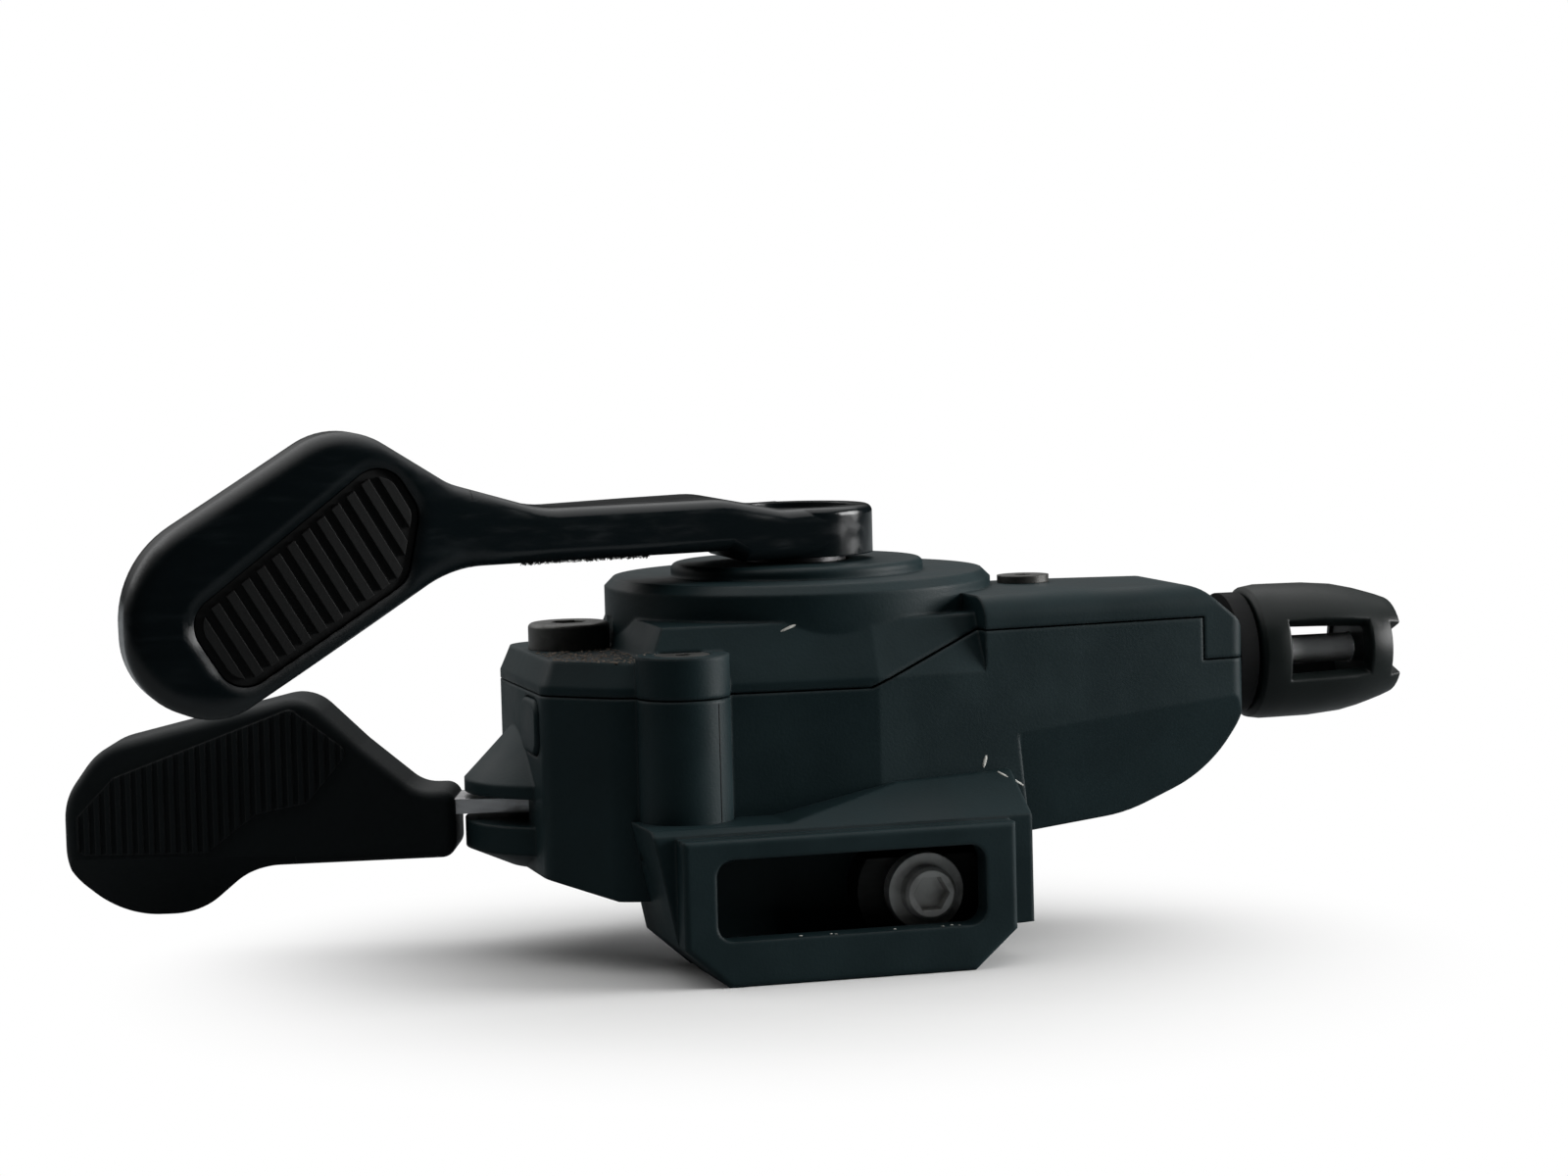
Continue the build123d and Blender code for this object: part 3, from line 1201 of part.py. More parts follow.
# Barrel adjuster sleeve: a cage with windows and a notched end
SOCKET_END = WINDOW_END + SOCKET_FLOOR
with BuildPart() as adjuster_sleeve:
    with BuildSketch(Plane(cable_line.origin, x_dir=(1, 0, 0), z_dir=(0, -1, 0))):
        with BuildLine():
            Polyline(
                (SLEEVE_START, 0),
                (SLEEVE_START, SLEEVE_BIG),
                (SLEEVE_MID_X, SLEEVE_MID),
                (SLEEVE_END, SLEEVE_SMALL),
                (SLEEVE_END, 0),
                close=True,
            )
        make_face()
        with BuildLine():
            Polyline(
                (WINDOW_START, 0),
                (WINDOW_START, SLEEVE_BORE),
                (WINDOW_END, SLEEVE_BORE),
                (WINDOW_END, 0),
                close=True,
            )
        make_face(mode=Mode.SUBTRACT)
    revolve(axis=Axis(cable_line.origin, (1, 0, 0)))
    for window in range(WINDOWS):
        out = Vector(0, -1, 0).rotate(Axis.X, window * 360 / WINDOWS)
        middle = cable_line.origin + Vector((WINDOW_START + WINDOW_END) / 2, 0, 0)
        with BuildSketch(Plane(middle, x_dir=(1, 0, 0), z_dir=out)):
            RectangleRounded(WINDOW_END - WINDOW_START, WINDOW_HEIGHT, WINDOW_ROUND)
        extrude(amount=SLEEVE_BIG + RUN_GAP, mode=Mode.SUBTRACT)
        end = cable_line.origin + Vector(SLEEVE_END, 0, 0)
        with BuildSketch(Plane(end, x_dir=(1, 0, 0), z_dir=out)):
            Rectangle(NOTCH_DEPTH, NOTCH_HEIGHT, align=(Align.MAX, Align.CENTER))
        extrude(amount=SLEEVE_BIG, mode=Mode.SUBTRACT)
    turned(cable_line, SLEEVE_START, SLEEVE_END, TUBE_RADIUS + FIT_GAP, mode=Mode.SUBTRACT)
    turned(cable_line, SOCKET_END, SLEEVE_END, SOCKET_RADIUS, mode=Mode.SUBTRACT)
finish(adjuster_sleeve, "adjuster_sleeve")

# Guide tube, polished, from inside the nose to the socket's floor
with BuildPart() as guide_tube:
    turned(cable_line, TUBE_START, SOCKET_END, TUBE_RADIUS, TUBE_BORE)
finish(guide_tube, "guide_tube")

# Clamp bolt with its raised socket collar, and the nut plate that it pulls on
clamp_axis = Plane(origin=(CLAMP_X, 0, CLAMP_Z), x_dir=(1, 0, 0), z_dir=(0, 1, 0))
with BuildPart() as clamp_bolt:
    turned(clamp_axis, CLAMP_COLLAR_FRONT, CLAMP_FLANGE_FRONT, CLAMP_COLLAR)
    chamfer(clamp_bolt.faces().sort_by(Axis.Y)[0].edges(), CLAMP_COLLAR_CHAMFER)
    turned(clamp_axis, CLAMP_FLANGE_FRONT, WASHER_FRONT, CLAMP_FLANGE)
    turned(clamp_axis, WASHER_FRONT, CHANNEL_END - RUN_GAP, CLAMP_SHANK)
    with BuildSketch(clamp_axis.offset(CLAMP_COLLAR_FRONT)):
        RegularPolygon(CLAMP_SOCKET, 6)
    extrude(amount=CLAMP_SOCKET_DEPTH, mode=Mode.SUBTRACT)
finish(clamp_bolt, "clamp_bolt")
with BuildPart() as clamp_washer:
    with BuildSketch(clamp_axis.offset(WASHER_FRONT)):
        with BuildLine():
            for side in (-1, 1):
                ThreePointArc(
                    (side * (WASHER_HALF - WASHER_ARC), -WASHER_HALF_HEIGHT),
                    (side * WASHER_HALF, 0),
                    (side * (WASHER_HALF - WASHER_ARC), WASHER_HALF_HEIGHT),
                )
            for side in (-1, 1):
                Line(
                    (WASHER_ARC - WASHER_HALF, side * WASHER_HALF_HEIGHT),
                    (WASHER_HALF - WASHER_ARC, side * WASHER_HALF_HEIGHT),
                )
        make_face()
        Circle(CLAMP_SHANK + FIT_GAP, mode=Mode.SUBTRACT)
    extrude(amount=CHANNEL_END - WASHER_FRONT)
finish(clamp_washer, "clamp_washer")


def pad_point(along, across):
    """A place on the thumb pad, seen from the front."""
    tilt = radians(PAD_TILT)
    x = -PAD_X + along * cos(tilt) - across * sin(tilt)
    return (x, PAD_Z + along * sin(tilt) + across * cos(tilt))


def insert_prism(gap):
    """Adds the ribbed insert's outline, drawn in by a gap, as a bar along the view."""
    with BuildSketch(front) as outline:
        with BuildLine():
            FilletPolyline(
                [
                    pad_point(-INSERT_LEFT, INSERT_TOP_LEFT),
                    pad_point(-INSERT_LEFT, -INSERT_LOW),
                    pad_point(INSERT_CUT_X, -INSERT_LOW),
                    pad_point(INSERT_RIGHT, -INSERT_CUT_Y),
                    pad_point(INSERT_RIGHT, INSERT_TOP_RIGHT),
                ],
                radius=INSERT_ROUND,
                close=True,
            )
        make_face()
        if gap:
            offset(amount=-gap, mode=Mode.REPLACE)
    extrude(outline.sketch, amount=FAR)


def face_band(low, high, mode):
    """Adds or keeps a band that follows the pad's curved face between two depths."""
    with BuildSketch(pad_plane) as band:
        with Locations((0, -PAD_FACE_RADIUS)):
            Circle(PAD_FACE_RADIUS - high)
            Circle(PAD_FACE_RADIUS - low, mode=Mode.SUBTRACT)
        Rectangle(FAR, FAR, align=(Align.MIN, Align.CENTER), mode=Mode.INTERSECT)
    extrude(band.sketch, amount=FAR, mode=mode)


# The lever's arm leaves the hub and meets the pad's curved face without a corner
pad_centre = Vector(-PAD_FACE_X, PAD_FACE_RADIUS - PAD_FACE_Y)
arm_turn = degrees(acos((HUB_RADIUS - PAD_FACE_RADIUS) / pad_centre.length))
arm_out = pad_centre.normalized().rotate(Axis.Z, arm_turn)
arm_start = arm_out * HUB_RADIUS
arm_end = pad_centre + arm_out * PAD_FACE_RADIUS
arm_back = arm_end - arm_out * PAD_THICKNESS
arm_run = (arm_end - arm_start).normalized()
pad_plane = Plane((PIVOT_X + arm_end.X, PIVOT_Y + arm_end.Y, 0), x_dir=arm_run)
ledge_origin = (PIVOT_X + arm_start.X, PIVOT_Y + arm_start.Y, 0)
ledge_start = Plane(ledge_origin, x_dir=arm_out, z_dir=arm_run).offset(-LEDGE_START)
ledge_start = ledge_start.rotated((0, LEDGE_TURN, 0))

# Outline of the whole lever, seen from the front
with BuildSketch(front) as lever_outline:
    with BuildLine():
        FilletPolyline(
            [
                (HUB_RADIUS, HUB_LOW),
                (HUB_RADIUS, HUB_TOP),
                (-ARM_TOP_BLEND, HUB_TOP),
                (-ARM_TOP_START, ARM_TOP),
                (-ARM_END, ARM_TOP),
                (-NECK_TOP_X, NECK_TOP_Z),
                pad_point(PAD_TOP_BACK, PAD_HALF_WIDTH),
                pad_point(-PAD_TOP_TIP, PAD_HALF_WIDTH),
                pad_point(-PAD_NOSE, -PAD_NOSE_DROP),
                pad_point(-PAD_BOTTOM_TIP, -PAD_HALF_WIDTH),
                pad_point(PAD_BOTTOM_BACK, -PAD_HALF_WIDTH),
                (-ARM_END, ARM_LOW),
                (-ARM_LOW_START, ARM_LOW),
                (-HUB_RADIUS, HUB_LOW),
            ],
            radius=[
                0,
                0,
                NECK_ROUND / 2,
                NECK_ROUND,
                NECK_ROUND,
                NECK_ROUND / 2,
                PAD_APEX_ROUND,
                PAD_ROUND,
                PAD_NOSE_ROUND,
                PAD_BOTTOM_ROUND,
                NECK_ROUND,
                NECK_ROUND / 2,
                0,
                0,
            ],
            close=True,
        )
    make_face()

# Thumb pad's plate, bent to the curve of its face
with BuildPart() as lever_pad:
    face_band(PAD_THICKNESS, 0, Mode.ADD)
    extrude(lever_outline.sketch, amount=FAR, both=True, mode=Mode.INTERSECT)
    front_face = lever_pad.faces().filter_by(GeomType.CYLINDER).sort_by(SortBy.AREA)[-1]
    fillet(front_face.edges().filter_by(Axis.Z, reverse=True), PAD_EDGE_ROUND)

# Arm from the hub to the pad
with BuildPart() as lever_arm:
    with BuildSketch(pivot):
        with BuildLine():
            Polyline(
                arm_start,
                arm_end,
                arm_back,
                (-ARM_BACK_MID_X, ARM_BACK_MID_Y),
                (0, HUB_RADIUS),
                close=True,
            )
        make_face()
    extrude(amount=FAR)
    extrude(lever_outline.sketch, amount=FAR, both=True, mode=Mode.INTERSECT)
    arm_face = lever_arm.faces().filter_by(GeomType.PLANE).sort_by(Axis((0, 0, 0), arm_out))[-1]
    fillet(arm_face.edges().filter_by(Axis.Z, reverse=True), ARM_EDGE_ROUND)

# Hub with a rounded rim
with BuildPart() as lever_hub:
    turned(pivot, HUB_LOW, HUB_TOP, HUB_RADIUS)
    fillet(lever_hub.edges().group_by(Axis.Z)[-1], HUB_RIM_ROUND)

# Room for the ribbed insert
with BuildPart() as insert_room:
    insert_prism(0)
    face_band(INSERT_DEPTH, -PAD_THICKNESS, Mode.INTERSECT)

# Main lever: hub, arm and pad in one, with the pocket for the ribbed insert
with BuildPart() as main_lever:
    add(lever_pad.part)
    add(lever_arm.part)
    add(lever_hub.part)
    with BuildSketch(ledge_start):
        with BuildLine():
            Polyline(
                (0, ARM_TOP - LEDGE_HEIGHT),
                (-LEDGE_DEPTH, ARM_TOP + LEDGE_HEIGHT),
                (LEDGE_DEPTH, ARM_TOP + LEDGE_HEIGHT),
                (LEDGE_DEPTH, ARM_TOP - LEDGE_HEIGHT),
                close=True,
            )
        make_face()
    extrude(amount=LEDGE_START + ARM_END, mode=Mode.SUBTRACT)
    turned(pivot, HUB_LOW, RECESS_FLOOR, BUSH_RADIUS + FIT_GAP, mode=Mode.SUBTRACT)
    turned(pivot, RECESS_FLOOR, ARM_TOP, HUB_RECESS_RADIUS, mode=Mode.SUBTRACT)
    add(insert_room.part, mode=Mode.SUBTRACT)
finish(main_lever, "main_lever")

# Fine ribs of the insert, slanted across the pad
with BuildPart() as insert_ribs:
    insert_prism(INSERT_RIB_MARGIN)
    face_band(INSERT_DEPTH, INSERT_RIB_SINK, Mode.INTERSECT)
    with BuildSketch(front):
        rib_x, rib_z = pad_point(INSERT_RIB_CENTRE, 0)
        with Locations(Location((rib_x, rib_z, 0), (0, 0, PAD_TILT + INSERT_RIB_SLANT))):
            with GridLocations(INSERT_RIB_PITCH, 0, INSERT_RIBS, 1):
                Rectangle(INSERT_RIB_WIDTH, FAR)
    extrude(amount=FAR, mode=Mode.INTERSECT)

# Ribbed insert: a thin bed that follows the pad's face, with its ribs
with BuildPart() as thumb_pad:
    insert_prism(INSERT_GAP)
    face_band(INSERT_DEPTH, INSERT_FLOOR, Mode.INTERSECT)
    add(insert_ribs.part)
finish(thumb_pad, "thumb_pad")
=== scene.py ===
"""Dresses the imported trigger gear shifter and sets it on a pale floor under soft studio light."""
import json
import logging
import math
import random
from dataclasses import dataclass, field
from enum import Enum
from typing import Protocol

import bmesh
import bpy
from mathutils import Matrix, Vector
from mathutils.bvhtree import BVHTree


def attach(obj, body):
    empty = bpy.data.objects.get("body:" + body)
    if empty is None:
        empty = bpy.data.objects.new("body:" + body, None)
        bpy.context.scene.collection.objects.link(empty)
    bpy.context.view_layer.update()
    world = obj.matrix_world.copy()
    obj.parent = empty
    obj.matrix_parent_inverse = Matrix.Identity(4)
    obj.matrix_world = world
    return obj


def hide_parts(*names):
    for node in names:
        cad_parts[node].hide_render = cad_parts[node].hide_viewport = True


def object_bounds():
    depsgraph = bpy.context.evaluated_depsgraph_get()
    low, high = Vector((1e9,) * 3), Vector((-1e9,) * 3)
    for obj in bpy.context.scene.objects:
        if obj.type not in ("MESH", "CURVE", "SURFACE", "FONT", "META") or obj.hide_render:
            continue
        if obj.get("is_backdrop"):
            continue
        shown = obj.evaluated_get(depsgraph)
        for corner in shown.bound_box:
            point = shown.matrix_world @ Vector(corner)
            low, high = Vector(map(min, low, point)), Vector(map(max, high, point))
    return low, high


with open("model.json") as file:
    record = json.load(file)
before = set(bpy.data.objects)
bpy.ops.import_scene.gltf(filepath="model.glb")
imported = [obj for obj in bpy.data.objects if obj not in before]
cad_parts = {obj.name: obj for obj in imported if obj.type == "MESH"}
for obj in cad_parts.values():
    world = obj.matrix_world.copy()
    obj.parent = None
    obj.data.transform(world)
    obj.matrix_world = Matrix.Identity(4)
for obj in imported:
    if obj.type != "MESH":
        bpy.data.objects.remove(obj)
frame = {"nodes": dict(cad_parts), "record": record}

LOG = logging.getLogger("shifter")
MM = 0.001
Colour = tuple[float, float, float]
Pixel = tuple[float, float]
Socket = bpy.types.NodeSocket
UNSTRETCHED: Colour = (1.0, 1.0, 1.0)
WHITE = (1.0, 1.0, 1.0, 1.0)
NOISE_BAND = (0.3, 0.7)
BEVEL_SAMPLES = 6
WELD = 1e-7


def metres(x: float, y: float, z: float) -> Vector:
    """Turns a place in millimetres into a vector in metres."""
    return Vector((x, y, z)) * MM


class Body(Enum):
    """The bodies that added pieces ride on."""

    HOUSING = "body"
    THUMB_LEVER = "main_lever"
    ADJUSTER = "adjuster"


class Slot(Enum):
    """The finishes that the record names."""

    HOUSING = "housing"
    LEVER_GLOSS = "lever_gloss"
    RIBBED_INSERT = "ribbed_insert"
    PADDLE = "paddle_plastic"
    BLACK_STEEL = "black_steel"
    STEEL = "steel"
    SPRING_STEEL = "spring_steel"
    BUSH_BRASS = "bush_brass"
    DRUM = "drum_plastic"
    SEAL = "seal_rubber"
    TUBE = "tube_polished"


class Shading:
    """A material whose shader is set socket by socket, with helpers for its textures."""

    def __init__(self, name: str) -> None:
        """Starts a material with one shader and the piece's own coordinates.

        Args:
            name: the material's name.
        """
        self.material = bpy.data.materials.new(name)
        self.material.use_nodes = True
        self.tree = self.material.node_tree
        self.shader = self.tree.nodes["Principled BSDF"]
        self.place = self.tree.nodes.new("ShaderNodeTexCoord").outputs["Object"]

    def node(self, kind: str, **inputs: object) -> bpy.types.Node:
        """Adds a node and fills its sockets.

        Args:
            kind: the node's type name.
            inputs: values or sockets by socket name, with underscores for spaces.

        Returns:
            The new node.
        """
        made = self.tree.nodes.new(kind)
        for name, value in inputs.items():
            self.feed(made.inputs[name.replace("_", " ")], value)
        return made

    def feed(self, socket: Socket, value: object) -> None:
        """Links a socket to another one, or sets its value.

        Args:
            socket: the socket that is fed.
            value: a socket, a number, a colour or a vector.
        """
        if isinstance(value, bpy.types.NodeSocket):
            self.tree.links.new(value, socket)
        else:
            socket.default_value = value

    def surface(self, **inputs: object) -> None:
        """Sets sockets of the shader, with underscores for spaces in their names."""
        for name, value in inputs.items():
            self.feed(self.shader.inputs[name.replace("_", " ")], value)

    def noise(self, size_mm: float, detail: float, stretch: Colour = UNSTRETCHED) -> Socket:
        """Makes a noise pattern on the piece's own coordinates.

        Args:
            size_mm: size of the pattern's blotches.
            detail: octaves of finer pattern.
            stretch: scale of the coordinates along each axis, for brushed patterns.

        Returns:
            The pattern's factor.
        """
        vector = self.place
        if stretch != UNSTRETCHED:
            vector = self.node("ShaderNodeMapping", Vector=self.place, Scale=stretch).outputs["Vector"]
        made = self.node("ShaderNodeTexNoise", Vector=vector, Scale=1.0 / (size_mm * MM), Detail=detail)
        return made.outputs["Fac"]

    def ramp(self, factor: Socket, low: float, high: float, start: float, end: float) -> Socket:
        """Maps a factor smoothly from one range to another.

        Args:
            factor: the pattern that is mapped.
            low: factor at which the result is start.
            high: factor at which the result is end.
            start: result below low.
            end: result above high.

        Returns:
            The mapped value.
        """
        made = self.tree.nodes.new("ShaderNodeMapRange")
        made.interpolation_type = "SMOOTHSTEP"
        for name, value in (("Value", factor), ("From Min", low), ("From Max", high),
                            ("To Min", start), ("To Max", end)):
            self.feed(made.inputs[name], value)
        return made.outputs["Result"]

    def blend(self, factor: Socket, first: object, second: object) -> Socket:
        """Mixes two colours by a factor.

        Args:
            factor: share of the second colour.
            first: colour or socket at zero.
            second: colour or socket at one.

        Returns:
            The mixed colour.
        """
        made = self.tree.nodes.new("ShaderNodeMix")
        made.data_type = "RGBA"
        self.feed(made.inputs["Factor"], factor)
        for socket, value in zip([s for s in made.inputs if s.type == "RGBA"], (first, second)):
            self.feed(socket, value if isinstance(value, bpy.types.NodeSocket) else (*value, 1.0))
        return next(s for s in made.outputs if s.type == "RGBA")

    def times(self, first: object, second: object) -> Socket:
        """Multiplies two values and returns the product's socket."""
        made = self.tree.nodes.new("ShaderNodeMath")
        made.operation = "MULTIPLY"
        self.feed(made.inputs[0], first)
        self.feed(made.inputs[1], second)
        return made.outputs[0]

    def near(self, centre: Vector, reach: float, core: float) -> Socket:
        """Makes a soft round patch.

        Args:
            centre: middle of the patch in metres.
            reach: distance at which the patch has faded out, in metres.
            core: share of the reach at which it starts to fade.

        Returns:
            One in the patch's core, zero outside it.
        """
        made = self.tree.nodes.new("ShaderNodeVectorMath")
        made.operation = "DISTANCE"
        self.feed(made.inputs[0], self.place)
        self.feed(made.inputs[1], centre)
        return self.ramp(made.outputs["Value"], reach * core, reach, 1.0, 0.0)

    def soft_edges(self, radius: object) -> Socket:
        """Rounds the shading of sharp edges, as a moulded or broken edge is.

        Args:
            radius: radius of the rounding in metres, as a number or a socket.

        Returns:
            The rounded normal.
        """
        made = self.node("ShaderNodeBevel", Radius=radius)
        made.samples = BEVEL_SAMPLES
        return made.outputs["Normal"]

    def edge_wear(self, rounded: Socket, low: float, high: float) -> Socket:
        """Finds where the rounded shading leaves the true surface, which is along edges.

        Args:
            rounded: normal from soft_edges.
            low: difference at which wear starts.
            high: difference at which wear is full.

        Returns:
            One on edges, zero on open faces.
        """
        true = self.tree.nodes.new("ShaderNodeNewGeometry").outputs["Normal"]
        gap = self.tree.nodes.new("ShaderNodeVectorMath")
        gap.operation = "DISTANCE"
        self.feed(gap.inputs[0], rounded)
        self.feed(gap.inputs[1], true)
        return self.ramp(gap.outputs["Value"], low, high, 0.0, 1.0)

    def bump(self, height: Socket, depth_mm: float, normal: Socket | None = None) -> Socket:
        """Raises a pattern on the surface.

        Args:
            height: the pattern.
            depth_mm: height of the pattern's peaks.
            normal: normal that it stands on.

        Returns:
            The bumped normal.
        """
        made = self.node("ShaderNodeBump", Height=height, Distance=depth_mm * MM, Strength=1.0)
        if normal is not None:
            self.feed(made.inputs["Normal"], normal)
        return made.outputs["Normal"]


class Finish(Protocol):
    """A finish that can be made into a material."""

    slot: Slot

    def material(self) -> bpy.types.Material:
        """Makes the material."""


@dataclass(frozen=True)
class GrainedPlastic:
    """Moulded plastic with a fine grain, mottled gloss and rubbed edges."""

    slot: Slot
    colour: Colour
    rubbed: Colour
    roughness: float
    specular: float
    grain_mm: float
    grain_depth_mm: float
    edge_mm: float = 0.18
    mottle_mm: float = 6.0
    mottle_shade: float = 0.8
    gloss_spread: float = 0.06
    wear_range: tuple[float, float] = (0.25, 0.7)
    wear_mottle: tuple[float, float, float, float] = (0.35, 0.65, 0.2, 0.9)

    def material(self) -> bpy.types.Material:
        """Makes the moulded plastic.

        Returns:
            The material.
        """
        shading = Shading(self.slot.value + "_grained")
        mottle = shading.noise(self.mottle_mm, 4.0)
        rounded = shading.soft_edges(self.edge_mm * MM)
        patchy = shading.ramp(mottle, *self.wear_mottle)
        wear = shading.times(shading.edge_wear(rounded, *self.wear_range), patchy)
        deep = tuple(c * self.mottle_shade for c in self.colour)
        colour = shading.blend(shading.ramp(mottle, *NOISE_BAND, 0.0, 1.0), deep, self.colour)
        colour = shading.blend(wear, colour, self.rubbed)
        grain = shading.noise(self.grain_mm, 3.0)
        shiny, dull = self.roughness - self.gloss_spread, self.roughness + self.gloss_spread
        shading.surface(
            Base_Color=colour, Specular_IOR_Level=self.specular,
            Roughness=shading.ramp(mottle, *NOISE_BAND, shiny, dull),
            Normal=shading.bump(grain, self.grain_depth_mm, rounded),
        )
        return shading.material


@dataclass(frozen=True)
class GlossPlastic:
    """Polished moulded plastic with a faint ripple and hairline scratches."""

    slot: Slot
    colour: Colour
    roughness: float
    specular: float
    ripple_mm: float = 3.0
    ripple_depth_mm: float = 0.01
    pad_edge_mm: float = 1.6
    arm_edge_mm: float = 0.22
    pad_until: float = -25.5
    arm_from: float = -22.5
    scratch_mm: float = 0.9
    scratch_stretch: Colour = (0.15, 1.0, 1.0)
    scratch_colour: tuple[float, float, float, float] = (0.55, 0.75, 0.0, 0.6)
    scratch_range: tuple[float, float] = (0.4, 0.75)
    scratch_dulling: float = 0.12
    scratch_gain: float = 1.6
    scratch_lift: float = 0.002

    def material(self) -> bpy.types.Material:
        """Makes the glossy plastic, with broadly rolled edges on the pad and finer ones on the arm.

        Returns:
            The material.
        """
        shading = Shading(self.slot.value + "_polished")
        ripple = shading.noise(self.ripple_mm, 2.0)
        scratches = shading.noise(self.scratch_mm, 5.0, self.scratch_stretch)
        pale = tuple(c * self.scratch_gain + self.scratch_lift for c in self.colour)
        along = shading.node("ShaderNodeSeparateXYZ", Vector=shading.place).outputs["X"]
        sizes = (self.pad_until, self.arm_from, self.pad_edge_mm, self.arm_edge_mm)
        edge = shading.ramp(along, *(size * MM for size in sizes))
        dull = self.roughness + self.scratch_dulling
        shading.surface(
            Base_Color=shading.blend(shading.ramp(scratches, *self.scratch_colour), self.colour, pale),
            Specular_IOR_Level=self.specular,
            Roughness=shading.ramp(scratches, *self.scratch_range, self.roughness, dull),
            Normal=shading.bump(ripple, self.ripple_depth_mm, shading.soft_edges(edge)),
        )
        return shading.material


@dataclass(frozen=True)
class Metal:
    """Bare or blackened metal with lines from drawing, turning or brushing."""

    slot: Slot
    colour: Colour
    stain: Colour
    roughness: float
    lines: Colour
    line_mm: float = 0.35
    line_depth_mm: float = 0.004
    metallic: float = 1.0
    edge_mm: float = 0.12
    stain_mm: float = 2.5
    stain_range: tuple[float, float, float, float] = (0.45, 0.7, 0.0, 0.8)
    gloss_range: tuple[float, float] = (-0.06, 0.1)

    def material(self) -> bpy.types.Material:
        """Makes the metal.

        Returns:
            The material.
        """
        shading = Shading(self.slot.value + "_metal")
        lines = shading.noise(self.line_mm, 4.0, self.lines)
        stains = shading.noise(self.stain_mm, 5.0)
        shiny, dull = (self.roughness + change for change in self.gloss_range)
        shading.surface(
            Base_Color=shading.blend(shading.ramp(stains, *self.stain_range), self.colour, self.stain),
            Metallic=self.metallic,
            Roughness=shading.ramp(lines, *NOISE_BAND, shiny, dull),
            Normal=shading.bump(lines, self.line_depth_mm, shading.soft_edges(self.edge_mm * MM)),
        )
        return shading.material


@dataclass(frozen=True)
class Rubber:
    """Matte rubber with a bloom of pale dust."""

    slot: Slot
    colour: Colour
    bloom: Colour
    cloud_mm: float = 1.8
    bloom_range: tuple[float, float] = (0.4, 0.75)
    gloss_range: tuple[float, float] = (0.62, 0.8)
    specular: float = 0.12
    grain_mm: float = 0.12
    grain_depth_mm: float = 0.008
    edge_mm: float = 0.15

    def material(self) -> bpy.types.Material:
        """Makes the rubber.

        Returns:
            The material.
        """
        shading = Shading(self.slot.value + "_matte")
        cloud = shading.noise(self.cloud_mm, 5.0)
        dusty = shading.ramp(cloud, *self.bloom_range, 0.0, 1.0)
        grain = shading.noise(self.grain_mm, 3.0)
        shading.surface(
            Base_Color=shading.blend(dusty, self.colour, self.bloom), Specular_IOR_Level=self.specular,
            Roughness=shading.ramp(cloud, *NOISE_BAND, *self.gloss_range),
            Normal=shading.bump(grain, self.grain_depth_mm, shading.soft_edges(self.edge_mm * MM)),
        )
        return shading.material


@dataclass(frozen=True)
class Dirt:
    """Loose dirt that lies on the part: crumbs of earth, lint or pale flakes."""

    name: str
    colour: Colour
    shade: Colour
    patch_mm: float = 0.4
    patch_range: tuple[float, float] = (0.35, 0.65)
    gloss_range: tuple[float, float] = (0.75, 0.95)
    specular: float = 0.15
    grain_share: float = 0.25
    grain_depth_mm: float = 0.02

    def material(self) -> bpy.types.Material:
        """Makes the dirt.

        Returns:
            The material.
        """
        shading = Shading(self.name)
        cloud = shading.noise(self.patch_mm, 3.0)
        lit = shading.ramp(cloud, *self.patch_range, 0.0, 1.0)
        grain = shading.noise(self.patch_mm * self.grain_share, 3.0)
        shading.surface(
            Base_Color=shading.blend(lit, self.shade, self.colour), Specular_IOR_Level=self.specular,
            Roughness=shading.ramp(cloud, *NOISE_BAND, *self.gloss_range),
            Normal=shading.bump(grain, self.grain_depth_mm),
        )
        return shading.material


FINISHES: tuple[Finish, ...] = (
    GrainedPlastic(Slot.HOUSING, (0.0068, 0.0172, 0.0196), (0.026, 0.036, 0.038), 0.5, 0.14, 0.22, 0.012, 0.42),
    GlossPlastic(Slot.LEVER_GLOSS, (0.003, 0.0052, 0.0061), 0.15, 0.32),
    GrainedPlastic(Slot.RIBBED_INSERT, (0.006, 0.0064, 0.0064), (0.02, 0.02, 0.02), 0.66, 0.16, 0.3, 0.015, 0.1),
    GrainedPlastic(Slot.PADDLE, (0.0035, 0.006, 0.0068), (0.026, 0.028, 0.028), 0.55, 0.16, 0.25, 0.012, 0.2),
    Metal(Slot.BLACK_STEEL, (0.07, 0.07, 0.066), (0.03, 0.029, 0.027), 0.4, (1.0, 1.0, 0.2), metallic=0.5),
    Metal(Slot.STEEL, (0.55, 0.55, 0.56), (0.4, 0.39, 0.38), 0.34, (0.12, 1.0, 1.0)),
    Metal(Slot.SPRING_STEEL, (0.42, 0.42, 0.43), (0.3, 0.29, 0.28), 0.3, (0.3, 0.3, 1.0)),
    Metal(Slot.BUSH_BRASS, (0.6, 0.47, 0.24), (0.42, 0.3, 0.14), 0.32, (0.2, 0.2, 1.0)),
    GrainedPlastic(Slot.DRUM, (0.3, 0.3, 0.29), (0.42, 0.42, 0.41), 0.5, 0.4, 0.4, 0.01),
    Rubber(Slot.SEAL, (0.003, 0.0032, 0.0034), (0.008, 0.0085, 0.009)),
    # The guide tube is chrome; it is drawn as white non-metallic colour, a painted reflection of the white surround.
    Metal(Slot.TUBE, (0.95, 0.95, 0.95), (0.9, 0.9, 0.9), 0.3, (0.1, 1.0, 1.0), line_depth_mm=0.001, metallic=0.0),
)
SLEEVE_FINISH = GrainedPlastic(Slot.LEVER_GLOSS, (0.0045, 0.0072, 0.0068), (0.03, 0.033, 0.03), 0.42, 0.16, 0.3, 0.006)
